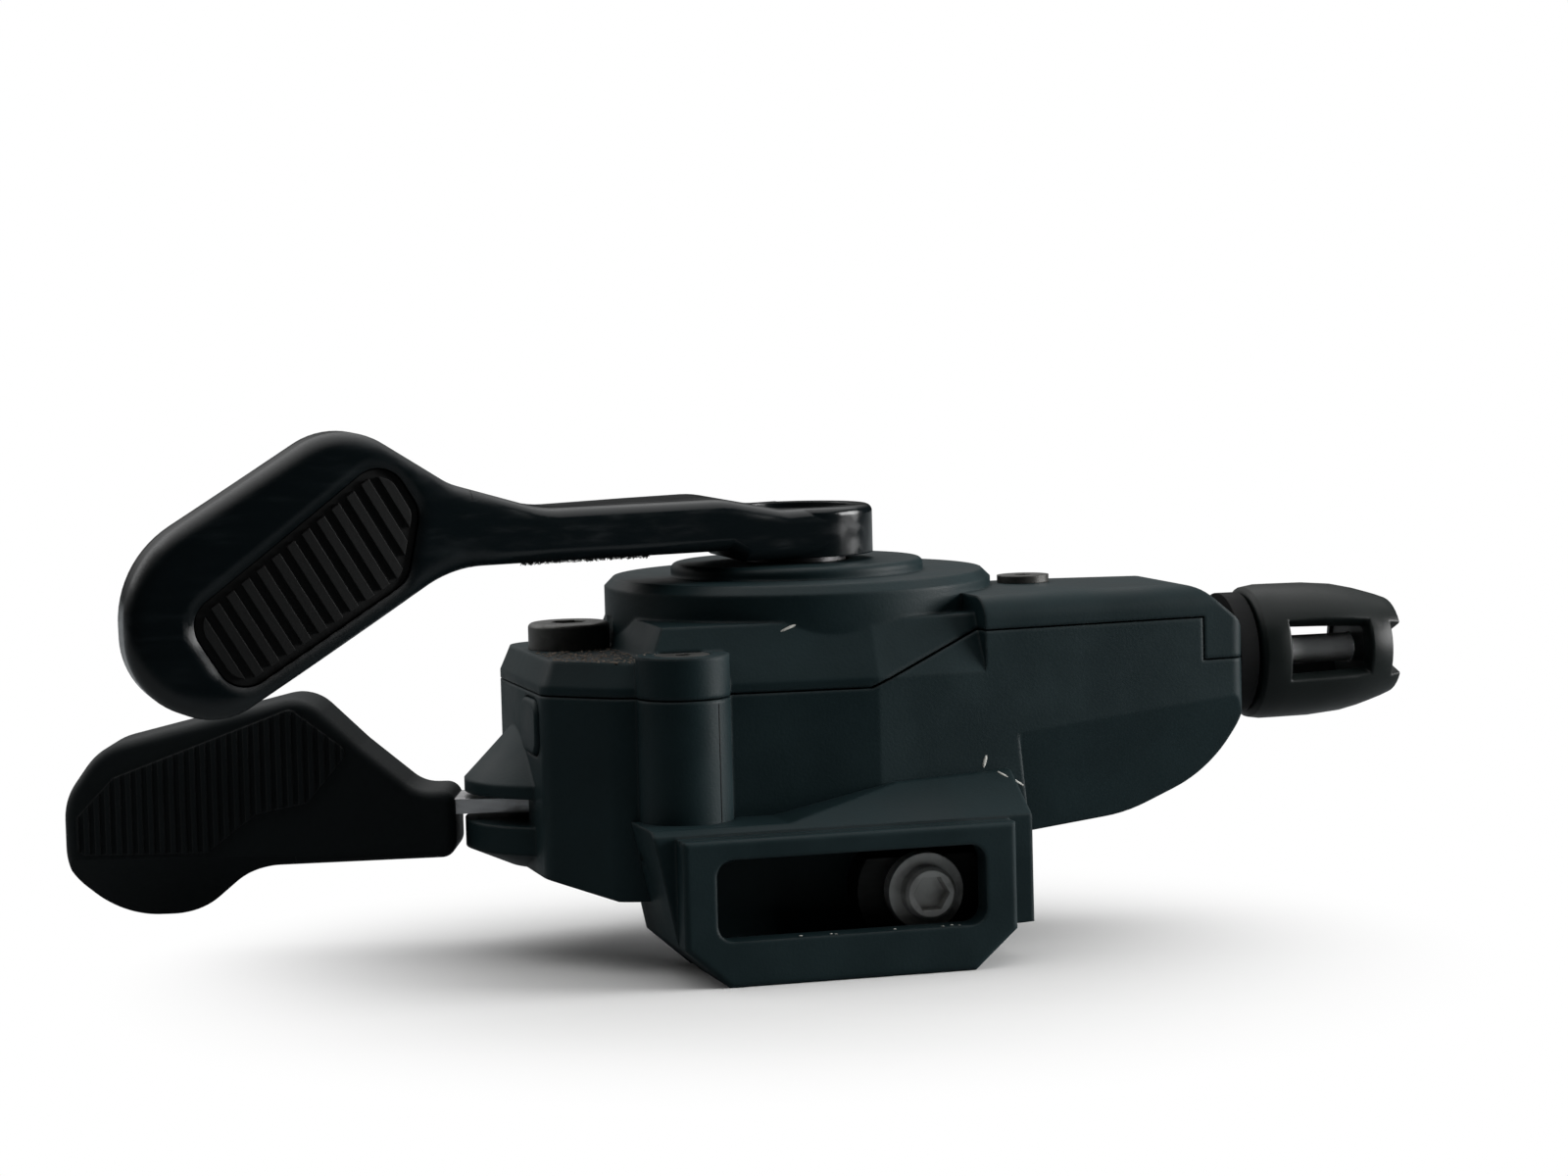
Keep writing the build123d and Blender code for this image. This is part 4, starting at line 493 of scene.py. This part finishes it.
# Worn steel grey for the clamp bolt, lightened further as painted light, since the slot it sits in gets little lamp
# light.
WORN_BOLT_WITH_PAINTED_LIGHT = Metal(Slot.BLACK_STEEL, (0.6, 0.6, 0.58), (0.3, 0.29, 0.28), 0.42, (1.0, 0.2, 1.0), metallic=0.35)
# Near-black for the clamp washer: painted shade, for the washer sits deep in the unlit slot.
PAINTED_SHADE_WASHER = Metal(Slot.BLACK_STEEL, (0.012, 0.0125, 0.012), (0.006, 0.006, 0.006), 0.5, (0.2, 1.0, 1.0), metallic=0.4)
# Darkened steel for the lever carrier: painted shade under the lever's hub.
PAINTED_SHADE_CARRIER = Metal(Slot.STEEL, (0.09, 0.09, 0.092), (0.05, 0.048, 0.046), 0.4, (0.12, 1.0, 1.0))
EARTH = Dirt("earth_crumbs", (0.24, 0.2, 0.165), (0.09, 0.075, 0.062))
CHAFF = Dirt("pale_chaff", (0.62, 0.62, 0.58), (0.4, 0.39, 0.36), 0.8)
LINT = Dirt("dark_lint", (0.012, 0.0125, 0.012), (0.004, 0.004, 0.004))


@dataclass
class Palette:
    """The materials of all finishes, made once."""

    made: dict[str, bpy.types.Material] = field(init=False)

    def __post_init__(self) -> None:
        """Makes the material of each finish."""
        self.made = {finish.slot.value: finish.material() for finish in FINISHES}

    def of(self, slot: Slot) -> bpy.types.Material:
        """Gives the material of one slot."""
        return self.made[slot.value]


@dataclass(frozen=True)
class PhotoView:
    """Where the photograph was taken from: places in millimetres, angles in degrees, clip in metres."""

    pivot: tuple[float, float, float] = (3.1, 24.5, 22.6)
    pivot_pixel: Pixel = (813.0, 583.0)
    picture: tuple[int, int] = (1600, 1200)
    focal_pixels: float = 4187.0
    sensor: float = 36.0
    azimuth: float = -15.5
    elevation: float = 4.5
    roll: float = 1.5
    distance: float = 332.0
    clip: tuple[float, float] = (0.01, 20.0)

    def axes(self) -> tuple[Vector, Vector, Vector]:
        """Works out the camera's axes.

        Returns:
            The directions to the picture's right, to its top and back to the viewer.
        """
        turn, rise, lean = (math.radians(a) for a in (self.azimuth, self.elevation, self.roll))
        back = Vector((math.sin(turn) * math.cos(rise), -math.cos(turn) * math.cos(rise), math.sin(rise)))
        right = Vector((math.cos(turn), math.sin(turn), 0.0))
        up = back.cross(right)
        return (right * math.cos(lean) - up * math.sin(lean), right * math.sin(lean) + up * math.cos(lean), back)

    def ray(self, pixel: Pixel) -> Vector:
        """Finds the line of sight through a pixel.

        Args:
            pixel: place in the picture, from its top left corner.

        Returns:
            The direction away from the camera, one deep.
        """
        right, up, back = self.axes()
        across = (pixel[0] - self.picture[0] / 2) / self.focal_pixels
        above = (self.picture[1] / 2 - pixel[1]) / self.focal_pixels
        return right * across + up * above - back

    def place(self) -> Vector:
        """Gives the camera's place in metres."""
        return (Vector(self.pivot) - self.ray(self.pivot_pixel) * self.distance) * MM

    def build(self) -> None:
        """Sets the camera where the photograph was taken from."""
        lens = bpy.data.cameras.new("photo_camera")
        lens.sensor_width = self.sensor
        lens.lens = self.focal_pixels / self.picture[0] * self.sensor
        lens.clip_start, lens.clip_end = self.clip
        camera = bpy.data.objects.new("photo_camera", lens)
        turned = Matrix(self.axes()).transposed().to_4x4()
        camera.matrix_world = Matrix.Translation(self.place()) @ turned
        bpy.context.collection.objects.link(camera)
        bpy.context.scene.camera = camera


class Probe:
    """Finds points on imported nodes, so that small pieces sit on what carries them."""

    def __init__(self, *nodes: str) -> None:
        """Reads the meshes of the nodes.

        Args:
            nodes: names of the nodes that pieces may sit on.
        """
        meshes = [frame["nodes"][name].data for name in nodes]
        self.trees = [
            BVHTree.FromPolygons([v.co for v in mesh.vertices], [list(p.vertices) for p in mesh.polygons])
            for mesh in meshes
        ]

    def hit(self, start: Vector, along: Vector) -> tuple[Vector, Vector] | None:
        """Casts a ray at the nodes.

        Args:
            start: point that the ray starts from.
            along: direction of the ray.

        Returns:
            The nearest point and the surface's outward direction there, or None.
        """
        found = [tree.ray_cast(start, along) for tree in self.trees]
        found = [row for row in found if row[0] is not None]
        if not found:
            return None
        point, normal, _, _ = min(found, key=lambda row: row[3])
        return point, -normal if normal.dot(along) > 0 else normal


@dataclass
class SubAssembly:
    """Nodes that belong together, with the pieces that are added to them."""

    palette: Palette
    nodes: tuple[str, ...] = ()
    own_finishes: tuple[tuple[str, Finish], ...] = ()

    def build(self) -> None:
        """Dresses the nodes and adds the group's own pieces."""
        self.dress()
        self.add_pieces()

    def dress(self) -> None:
        """Gives each node the material of its record's slot, or its own variant of it."""
        slots = {row["node"]: row["material_slot"] for row in frame["record"]["subparts"]}
        own = {name: finish.material() for name, finish in self.own_finishes}
        for name in self.nodes:
            for place in frame["nodes"][name].material_slots:
                place.material = own.get(name, self.palette.made[slots[name]])
            LOG.info("dressed %s as %s", name, slots[name])

    def add_pieces(self) -> None:
        """Adds nothing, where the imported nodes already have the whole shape."""

    def piece(self, name: str, shape: bmesh.types.BMesh, body: Body, material: bpy.types.Material,
              slot: Slot | None = None, smooth_below: float = 40.0) -> bpy.types.Object:
        """Turns a shape into a piece that rides on a body.

        Args:
            name: the piece's name.
            shape: its mesh in metres, at its place; it is freed here.
            body: body that it rides on.
            material: its material.
            slot: record's slot that the finish comes from, if it has one; not used.
            smooth_below: angle in degrees up to which neighbouring faces shade as one.

        Returns:
            The piece's object.
        """
        mesh = bpy.data.meshes.new(name)
        shape.to_mesh(mesh)
        shape.free()
        mesh.materials.append(material)
        mesh.shade_smooth()
        mesh.set_sharp_from_angle(angle=math.radians(smooth_below))
        made = bpy.data.objects.new(name, mesh)
        bpy.context.collection.objects.link(made)
        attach(made, body.value)
        LOG.info("built %s with %d faces", name, len(mesh.polygons))
        return made


@dataclass
class Housing(SubAssembly):
    """The case, its cover, the clamp bracket and what is fixed to them."""

    nodes: tuple[str, ...] = (
        "case_base", "cover", "mount_bracket", "bracket_screws", "cover_screws", "base_plate", "base_screws",
        "main_axle", "pivot_bolt", "hold_pawl_pin", "release_bolt", "release_spacer", "cable_port_plug",
        "adjuster_seal",
    )
    boss: tuple[float, float] = (-10.7, 8.3)
    boss_radius: float = 3.6
    line_turn: float = 34.0
    line_low: float = 5.2
    line_high: float = 14.3
    line_width: float = 0.07
    line_sink: float = 0.6
    line_round: float = 0.4
    line_sides: int = 8

    def add_pieces(self) -> None:
        """Adds the parting line that the mould left on the screw boss, drawn in near-black as a painted line of shade.
        """
        turn = math.radians(self.line_turn)
        reach = self.boss_radius - self.line_width * self.line_sink
        middle = metres(self.boss[0] + math.sin(turn) * reach, self.boss[1] - math.cos(turn) * reach,
                        (self.line_low + self.line_high) / 2)
        shape = bmesh.new()
        bmesh.ops.create_cone(shape, cap_ends=True, segments=self.line_sides, radius1=self.line_width * MM,
                              radius2=self.line_width * MM, depth=(self.line_high - self.line_low) * MM,
                              matrix=Matrix.Translation(middle))
        ends = [e for e in shape.edges if abs(e.verts[0].co.z - e.verts[1].co.z) < WELD]
        bmesh.ops.bevel(shape, geom=ends, offset=self.line_width * self.line_round * MM, affect="EDGES",
                        segments=2, profile=0.5, material=-1)
        # The line takes the near-black seal rubber, not the housing's plastic: a painted dark line of shade up the
        # boss.
        self.piece("boss_parting_line_painted_shade", shape, Body.HOUSING, self.palette.of(Slot.SEAL), Slot.HOUSING)


@dataclass
class ThumbLever(SubAssembly):
    """The long thumb lever with its ribbed pad and the parts that turn with it."""

    nodes: tuple[str, ...] = ("main_lever", "thumb_pad", "lever_carrier", "lever_bush", "feed_pawl_pin", "feed_pawl")
    # The carrier's darkened steel is painted shade under the hub.
    own_finishes: tuple[tuple[str, Finish], ...] = (("lever_carrier", PAINTED_SHADE_CARRIER),)


@dataclass
class IndexMechanism(SubAssembly):
    """The drum, ratchets, holding pawl and springs inside the case."""

    nodes: tuple[str, ...] = (
        "winding_drum", "position_ratchet", "feed_ratchet", "hold_pawl", "drum_spring", "lever_spring",
        "release_spring",
    )


@dataclass
class ReleaseLever(SubAssembly):
    """The steel release plate and its moulded paddle."""

    nodes: tuple[str, ...] = ("release_plate", "release_paddle")


@dataclass
class BarrelAdjuster(SubAssembly):
    """The cable's barrel adjuster: a moulded cage round a polished guide tube, sizes in millimetres."""

    nodes: tuple[str, ...] = ("adjuster_sleeve", "guide_tube")
    axis: tuple[float, float] = (16.0, 15.0)
    rings: tuple[tuple[float, float], ...] = (
        (38.0, 1.5), (38.0, 4.9), (38.35, 5.3), (39.3, 5.45), (40.4, 5.45), (43.5, 5.42), (46.0, 5.2),
        (47.6, 4.85), (48.8, 4.5), (49.7, 4.22), (50.7, 3.85),
    )
    window: tuple[int, int] = (4, 7)
    notch: tuple[int, int] = (9, 10)
    segments: int = 40
    window_faces: int = 6
    wall: float = 1.35
    edge: float = 0.22
    edge_angle: float = 40.0
    smooth_below: float = 35.0
    socket: tuple[tuple[float, float], ...] = (
        (47.5, 1.2), (47.5, 3.6), (50.1, 2.9), (50.1, 2.6), (48.5, 2.6), (48.5, 1.2),
    )

    def add_pieces(self) -> None:
        """Adds the cage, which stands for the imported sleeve."""
        material = SLEEVE_FINISH.material()
        shape = self.cage()
        look = (Body.ADJUSTER, material, Slot.LEVER_GLOSS, self.smooth_below)
        cage = self.piece("adjuster_cage", shape, *look)
        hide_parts("adjuster_sleeve")
        wall = cage.modifiers.new("wall", "SOLIDIFY")
        wall.thickness, wall.offset = self.wall * MM, -1.0
        edge = cage.modifiers.new("edge", "BEVEL")
        edge.width, edge.segments, edge.limit_method = self.edge * MM, 3, "ANGLE"
        edge.angle_limit = math.radians(self.edge_angle)
        self.piece("adjuster_socket", self.socket_ring(), *look)

    def cage(self) -> bmesh.types.BMesh:
        """Builds the cage's outer skin, with its windows and end notches left open.

        Returns:
            The skin, ready for its wall.
        """
        shape = bmesh.new()
        half_step = Matrix.Rotation(math.pi / self.segments, 4, "X")
        lying = Matrix.Rotation(math.pi / 2, 4, "Y")
        start, radius = self.rings[0]
        centre = metres(start, *self.axis)
        made = bmesh.ops.create_circle(shape, segments=self.segments, radius=radius * MM,
                                       matrix=Matrix.Translation(centre) @ half_step @ lying)
        ring = list({e for v in made["verts"] for e in v.link_edges})
        bands: list[list[bmesh.types.BMFace]] = []
        for place, wide in self.rings[1:]:
            grown = bmesh.ops.extrude_edge_only(shape, edges=ring)["geom"]
            verts = [g for g in grown if isinstance(g, bmesh.types.BMVert)]
            bands.append([g for g in grown if isinstance(g, bmesh.types.BMFace)])
            bmesh.ops.translate(shape, verts=verts, vec=metres(place - start, 0.0, 0.0))
            at = metres(place, *self.axis)
            bmesh.ops.scale(shape, verts=verts, vec=Vector((1.0, wide / radius, wide / radius)),
                            space=Matrix.Translation(-at))
            inside = set(verts)
            ring = list({e for v in verts for e in v.link_edges if set(e.verts) <= inside})
            start, radius = place, wide
        open_faces = [
            face for low, high in (self.window, self.notch) for band in bands[low:high] for face in band
            if self.faces_front_or_back(face)
        ]
        bmesh.ops.delete(shape, geom=open_faces, context="FACES")
        bmesh.ops.remove_doubles(shape, verts=shape.verts, dist=WELD)
        bmesh.ops.recalc_face_normals(shape, faces=shape.faces)
        return shape

    def faces_front_or_back(self, face: bmesh.types.BMFace) -> bool:
        """Tells whether a face of the skin lies in the strip that the windows are cut from."""
        middle = face.calc_center_median() - metres(0.0, *self.axis)
        return abs(math.atan2(middle.z, abs(middle.y))) < math.pi / self.segments * self.window_faces

    def socket_ring(self) -> bmesh.types.BMesh:
        """Builds the wall inside the cage that takes the end of the cable's casing.

        Returns:
            The turned ring.
        """
        shape = bmesh.new()
        verts = [shape.verts.new(metres(x, self.axis[0], self.axis[1] + r)) for x, r in self.socket]
        edges = [shape.edges.new(pair) for pair in zip(verts, verts[1:] + verts[:1])]
        bmesh.ops.spin(shape, geom=verts + edges, cent=metres(0.0, *self.axis), axis=(1.0, 0.0, 0.0),
                       angle=math.tau, steps=self.segments, use_merge=True)
        bmesh.ops.remove_doubles(shape, verts=shape.verts, dist=WELD)
        bmesh.ops.recalc_face_normals(shape, faces=shape.faces)
        return shape


@dataclass
class ClampBolt(SubAssembly):
    """The clamp bolt and its washer plate, which slide along the bracket's slot."""

    nodes: tuple[str, ...] = ("clamp_bolt", "clamp_washer")
    # The bolt's grey is worn steel plus painted light; the washer's near-black is painted shade inside the slot.
    own_finishes: tuple[tuple[str, Finish], ...] = (("clamp_bolt", WORN_BOLT_WITH_PAINTED_LIGHT), ("clamp_washer", PAINTED_SHADE_WASHER))


@dataclass
class Wear(SubAssembly):
    """Dirt and damage where the photograph shows them, seated along its lines of sight."""

    view: PhotoView = PhotoView()
    seed: int = 7
    crumb_low: tuple[float, float] = (-19.3, 9.6)
    crumb_high: tuple[float, float] = (-9.2, 22.5)
    crumb_drop: float = 24.0
    crumb_flat: float = 0.93
    crumb_layer: tuple[float, float] = (10.0, 19.0)
    crumb_count: int = 900
    crumb_size: tuple[float, float] = (0.04, 0.15)
    crumb_stretch: tuple[tuple[float, float], ...] = ((0.7, 1.5), (0.7, 1.5), (0.4, 0.8))
    uneven: tuple[float, float] = (0.8, 1.2)
    flake_height: float = 0.5
    speck_width: float = 0.7
    speck_lean: float = 10.0
    flake: tuple[Pixel, float, float, float] = ((806.0, 640.0), 0.75, 0.14, 28.0)
    specks: tuple[tuple[Pixel, float], ...] = (
        ((817.0, 956.0), 0.14), ((848.0, 955.0), 0.17), ((853.0, 956.0), 0.1), ((913.0, 952.0), 0.11),
        ((962.0, 948.0), 0.12), ((971.0, 948.0), 0.17), ((979.0, 947.0), 0.12),
    )
    speck_search: int = 30
    speck_depth: float = 0.45
    nick: tuple[tuple[Pixel, float, float, float], ...] = (
        ((1005.0, 777.0), 0.55, 0.13, 75.0), ((1023.0, 790.0), 0.6, 0.1, -38.0), ((1037.0, 797.0), 0.7, 0.09, -30.0),
    )
    lint_from: float = 532.0
    lint_to: float = 662.0
    lint_top: float = 545.0
    lint_low: float = 590.0
    lint_count: int = 420
    lint_length: tuple[float, float] = (0.06, 0.26)
    lint_thick: float = 0.028
    lint_bend: tuple[float, float] = (0.5, 1.6)
    lint_tilt: tuple[float, float] = (-0.7, 0.7)
    lint_sides: int = 5
    lint_steps: int = 4
    lint_row: float = 0.5

    def add_pieces(self) -> None:
        """Adds the dirt and the nick."""
        draw = random.Random(self.seed)
        case = Probe("case_base", "cover", "mount_bracket", "cable_port_plug", "release_bolt")
        lever = Probe("main_lever")
        earth, chaff, lint = (dirt.material() for dirt in (EARTH, CHAFF, LINT))
        self.piece("earth_crumbs", self.crumbs(case, draw), Body.HOUSING, earth)
        self.piece("pale_chaff", self.flakes(case, draw), Body.HOUSING, chaff)
        self.piece("arm_lint", self.fibres(lever, draw), Body.THUMB_LEVER, lint)

    def seat(self, probe: Probe, pixel: Pixel) -> tuple[Vector, Vector] | None:
        """Finds what the camera sees at a pixel."""
        return probe.hit(self.view.place(), self.view.ray(pixel).normalized())

    def settle(self, probe: Probe, pixel: Pixel) -> tuple[Vector, Vector] | None:
        """Finds the first ledge that faces up, at a pixel or straight above it.

        Args:
            probe: nodes that may hold the ledge.
            pixel: place in the picture where the search starts.

        Returns:
            The ledge's point and normal, or None where there is none near.
        """
        for step in range(self.speck_search):
            found = self.seat(probe, (pixel[0], pixel[1] - step))
            if found is not None and found[1].z > self.crumb_flat and found[0].y > self.speck_depth * MM:
                return found
        return None

    def crumbs(self, probe: Probe, draw: random.Random) -> bmesh.types.BMesh:
        """Builds the crumbs of earth on the left of the cover.

        Args:
            probe: nodes that the crumbs lie on.
            draw: seeded source of their places and sizes.

        Returns:
            The crumbs.
        """
        shape = bmesh.new()
        (left, near), (right, far) = self.crumb_low, self.crumb_high
        for _ in range(self.crumb_count):
            above = metres(draw.uniform(left, right), draw.uniform(near, far), self.crumb_drop)
            found = probe.hit(above, Vector((0.0, 0.0, -1.0)))
            size = draw.uniform(*self.crumb_size) * MM
            stretch = Matrix.Diagonal((*(draw.uniform(*limits) for limits in self.crumb_stretch), 1.0))
            spin = draw.uniform(0.0, math.tau)
            if found is None or not self.holds_crumb(*found):
                continue
            point, normal = found
            turned = normal.to_track_quat("Z", "Y").to_matrix().to_4x4() @ Matrix.Rotation(spin, 4, "Z")
            bmesh.ops.create_icosphere(shape, subdivisions=1, radius=size,
                                       matrix=Matrix.Translation(point) @ turned @ stretch)
        return shape

    def holds_crumb(self, point: Vector, normal: Vector) -> bool:
        """Tells whether a crumb can lie at a point: on a level face of the lower tops."""
        low, high = self.crumb_layer
        return normal.z >= self.crumb_flat and low < point.z / MM < high

    def flakes(self, probe: Probe, draw: random.Random) -> bmesh.types.BMesh:
        """Builds the pale flakes, the specks in the slot and the slivers of the nick.

        Args:
            probe: nodes that they lie on.
            draw: seeded source of their unevenness.

        Returns:
            The pale pieces.
        """
        shape = bmesh.new()
        specks = ((pixel, size, size * self.speck_width, self.speck_lean) for pixel, size in self.specks)
        rows = [self.flake, *self.nick, *specks]
        loose = {pixel for pixel, _ in self.specks}
        for pixel, length, width, lean in rows:
            found = self.settle(probe, pixel) if pixel in loose else self.seat(probe, pixel)
            uneven = [draw.uniform(*self.uneven) for _ in range(3)]
            if found is None:
                LOG.warning("no surface at pixel %s", pixel)
                continue
            point, normal = found
            across = self.view.axes()[0]
            across = (across - normal * across.dot(normal)).normalized()
            turned = Matrix((across, normal.cross(across), normal)).transposed().to_4x4()
            sizes = (length * uneven[0], width * uneven[1], width * self.flake_height * uneven[2], 1.0)
            bmesh.ops.create_icosphere(
                shape, subdivisions=2, radius=MM,
                matrix=Matrix.Translation(point) @ turned @ Matrix.Rotation(math.radians(lean), 4, "Z")
                @ Matrix.Diagonal(sizes),
            )
        return shape

    def fibres(self, probe: Probe, draw: random.Random) -> bmesh.types.BMesh:
        """Builds the lint that clings to the lower edge of the lever's arm.

        Args:
            probe: the lever.
            draw: seeded source of places, lengths and bends.

        Returns:
            The fibres.
        """
        shape = bmesh.new()
        for _ in range(self.lint_count):
            column = draw.uniform(self.lint_from, self.lint_to)
            length, bend = draw.uniform(*self.lint_length), draw.uniform(*self.lint_bend)
            tilt, spin = draw.uniform(*self.lint_tilt), draw.uniform(0.0, math.tau)
            seats = (self.seat(probe, (column, row)) for row in self.rows())
            point = next((found[0] for found in seats if found is not None), None)
            if point is None:
                continue
            made = bmesh.ops.create_circle(shape, segments=self.lint_sides, radius=self.lint_thick * MM)
            grown = made["verts"]
            reach = length / bend * MM
            edges = list({e for v in grown for e in v.link_edges})
            bmesh.ops.spin(shape, geom=grown + edges, cent=(reach, 0.0, 0.0), axis=(0.0, 1.0, 0.0),
                           angle=bend, steps=self.lint_steps, use_merge=False)
            verts = list(set(grown) | {v for f in shape.faces for v in f.verts if not v.tag})
            for vert in verts:
                vert.tag = True
            down = Matrix.Rotation(math.pi + tilt, 4, "Y") @ Matrix.Rotation(spin, 4, "Z")
            bmesh.ops.transform(shape, matrix=Matrix.Translation(point) @ down, verts=verts)
        bmesh.ops.holes_fill(shape, edges=shape.edges, sides=self.lint_sides)
        bmesh.ops.recalc_face_normals(shape, faces=shape.faces)
        return shape

    def rows(self) -> list[float]:
        """Lists the picture rows from below the arm up to its middle."""
        count = int((self.lint_low - self.lint_top) / self.lint_row)
        return [self.lint_low - step * self.lint_row for step in range(count)]


@dataclass(frozen=True)
class Softbox:
    """A soft lamp that stands round the part, angles in degrees and lengths in metres."""

    name: str
    azimuth: float
    elevation: float
    distance: float
    width: float
    height: float
    power: float

    def build(self, target: Vector) -> bpy.types.Object:
        """Places the lamp so that it faces the target.

        Args:
            target: point that the lamp faces.

        Returns:
            The lamp object.
        """
        turn, rise = math.radians(self.azimuth), math.radians(self.elevation)
        away = Vector((math.sin(turn) * math.cos(rise), -math.cos(turn) * math.cos(rise), math.sin(rise)))
        lamp = bpy.data.lights.new(self.name, "AREA")
        lamp.shape, lamp.size, lamp.size_y, lamp.energy = "RECTANGLE", self.width, self.height, self.power
        holder = bpy.data.objects.new(self.name, lamp)
        holder.location = target + away * self.distance
        holder.rotation_euler = (-away).to_track_quat("-Z", "Y").to_euler()
        bpy.context.collection.objects.link(holder)
        return holder


@dataclass
class Studio:
    """The pale floor, the lamps and the white surround, lengths in metres."""

    floor_radius: float = 0.5
    floor_back: float = 0.4
    floor_colour: Colour = (0.9, 0.9, 0.895)
    floor_bounce: Colour = (0.34, 0.36, 0.37)
    floor_mottle: float = 0.985
    floor_grain_mm: float = 1.5
    floor_roughness: float = 0.7
    floor_specular: float = 0.1
    floor_segments: int = 128
    shadow_at: tuple[float, float] = (-0.002, 0.008)
    fade_start: float = 0.018
    fade_end: float = 0.055
    surround_dark: float = 0.012
    bright_way: tuple[float, float, float] = (-0.25, 0.3, 0.92)
    bright_from: float = 0.25
    bright_to: float = 0.9
    fill: float = 0.03
    lamps: tuple[Softbox, ...] = (
        Softbox("overhead_softbox", 170.0, 86.0, 0.8, 1.7, 1.5, 8.2),
        Softbox("right_softbox", 74.0, 12.0, 0.6, 0.4, 0.25, 5.0),
        Softbox("left_softbox", -125.0, 30.0, 0.7, 0.4, 0.4, 0.8),
    )

    def build(self) -> None:
        """Builds the floor, lamps and surround."""
        low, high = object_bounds()
        middle = (Vector(low) + Vector(high)) / 2
        self.floor(Vector((middle.x, middle.y, low[2])))
        for lamp in self.lamps:
            lamp.build(middle)
            LOG.info("lamp %s", lamp.name)
        self.surround()
        bpy.context.scene.view_settings.view_transform = "Standard"

    def floor(self, middle: Vector) -> None:
        """Lays a pale floor that goes over into the white surround.

        Args:
            middle: point of the floor under the part.
        """
        shape = bmesh.new()
        centre = middle + Vector((0.0, self.floor_back, 0.0))
        bmesh.ops.create_circle(shape, cap_ends=True, segments=self.floor_segments, radius=self.floor_radius,
                                matrix=Matrix.Translation(centre))
        mesh = bpy.data.meshes.new("studio_floor")
        shape.to_mesh(mesh)
        shape.free()
        disc = bpy.data.objects.new("studio_floor", mesh)
        bpy.context.collection.objects.link(disc)
        shading = Shading("floor_pale")
        grain = shading.noise(self.floor_grain_mm, 3.0)
        soft = tuple(c * self.floor_mottle for c in self.floor_colour)
        path = shading.tree.nodes.new("ShaderNodeLightPath")
        pale = shading.blend(grain, self.floor_colour, soft)
        shading.surface(Base_Color=shading.blend(path.outputs["Is Camera Ray"], self.floor_bounce, pale),
                        Roughness=self.floor_roughness, Specular_IOR_Level=self.floor_specular)
        shadow = Vector((*self.shadow_at, middle.z))
        far = shading.near(shadow, self.fade_end, self.fade_start / self.fade_end)
        white = shading.node("ShaderNodeEmission", Color=WHITE, Strength=1.0)
        share = shading.tree.nodes.new("ShaderNodeMath")
        share.operation = "SUBTRACT"
        shading.feed(share.inputs[0], 1.0)
        shading.feed(share.inputs[1], far)
        seen = shading.times(share.outputs[0], path.outputs["Is Camera Ray"])
        mixed = shading.node("ShaderNodeMixShader", Fac=seen)
        shading.feed(mixed.inputs[1], shading.shader.outputs["BSDF"])
        shading.feed(mixed.inputs[2], white.outputs["Emission"])
        output = shading.tree.nodes["Material Output"]
        shading.feed(output.inputs["Surface"], mixed.outputs["Shader"])
        mesh.materials.append(shading.material)
        disc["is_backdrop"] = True

    def surround(self) -> None:
        """Makes the world white for the camera, graded for reflections and dim for fill light."""
        world = bpy.data.worlds.new("white_surround")
        world.use_nodes = True
        bpy.context.scene.world = world
        tree = world.node_tree
        nodes, link = tree.nodes, tree.links.new
        path = nodes.new("ShaderNodeLightPath")
        heading = nodes.new("ShaderNodeVectorMath")
        heading.operation = "DOT_PRODUCT"
        link(nodes.new("ShaderNodeTexCoord").outputs["Generated"], heading.inputs[0])
        heading.inputs[1].default_value = Vector(self.bright_way).normalized()
        grade = nodes.new("ShaderNodeMapRange")
        grade.interpolation_type = "SMOOTHSTEP"
        link(heading.outputs["Value"], grade.inputs["Value"])
        for name, value in (("From Min", self.bright_from), ("From Max", self.bright_to),
                            ("To Min", self.surround_dark), ("To Max", 1.0)):
            grade.inputs[name].default_value = value
        fill, seen, mirrored = (nodes.new("ShaderNodeBackground") for _ in range(3))
        fill.inputs["Strength"].default_value = self.fill
        for background in (fill, seen):
            background.inputs["Color"].default_value = WHITE
        link(grade.outputs["Result"], mirrored.inputs["Color"])
        shiny = nodes.new("ShaderNodeMath")
        shiny.operation = "MAXIMUM"
        link(path.outputs["Is Glossy Ray"], shiny.inputs[0])
        link(path.outputs["Is Transmission Ray"], shiny.inputs[1])
        reflected, shown = nodes.new("ShaderNodeMixShader"), nodes.new("ShaderNodeMixShader")
        link(shiny.outputs[0], reflected.inputs["Fac"])
        link(fill.outputs[0], reflected.inputs[1])
        link(mirrored.outputs[0], reflected.inputs[2])
        link(path.outputs["Is Camera Ray"], shown.inputs["Fac"])
        link(reflected.outputs[0], shown.inputs[1])
        link(seen.outputs[0], shown.inputs[2])
        output = next(n for n in nodes if n.type == "OUTPUT_WORLD")
        link(shown.outputs[0], output.inputs["Surface"])


def main() -> None:
    """Builds the sub-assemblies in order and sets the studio."""
    logging.basicConfig(level=logging.INFO, format="%(message)s")
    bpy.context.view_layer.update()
    palette = Palette()
    for kind in (Housing, ThumbLever, IndexMechanism, ReleaseLever, BarrelAdjuster, ClampBolt, Wear):
        kind(palette).build()
    Studio().build()
    PhotoView().build()


if __name__ == "__main__":
    main()
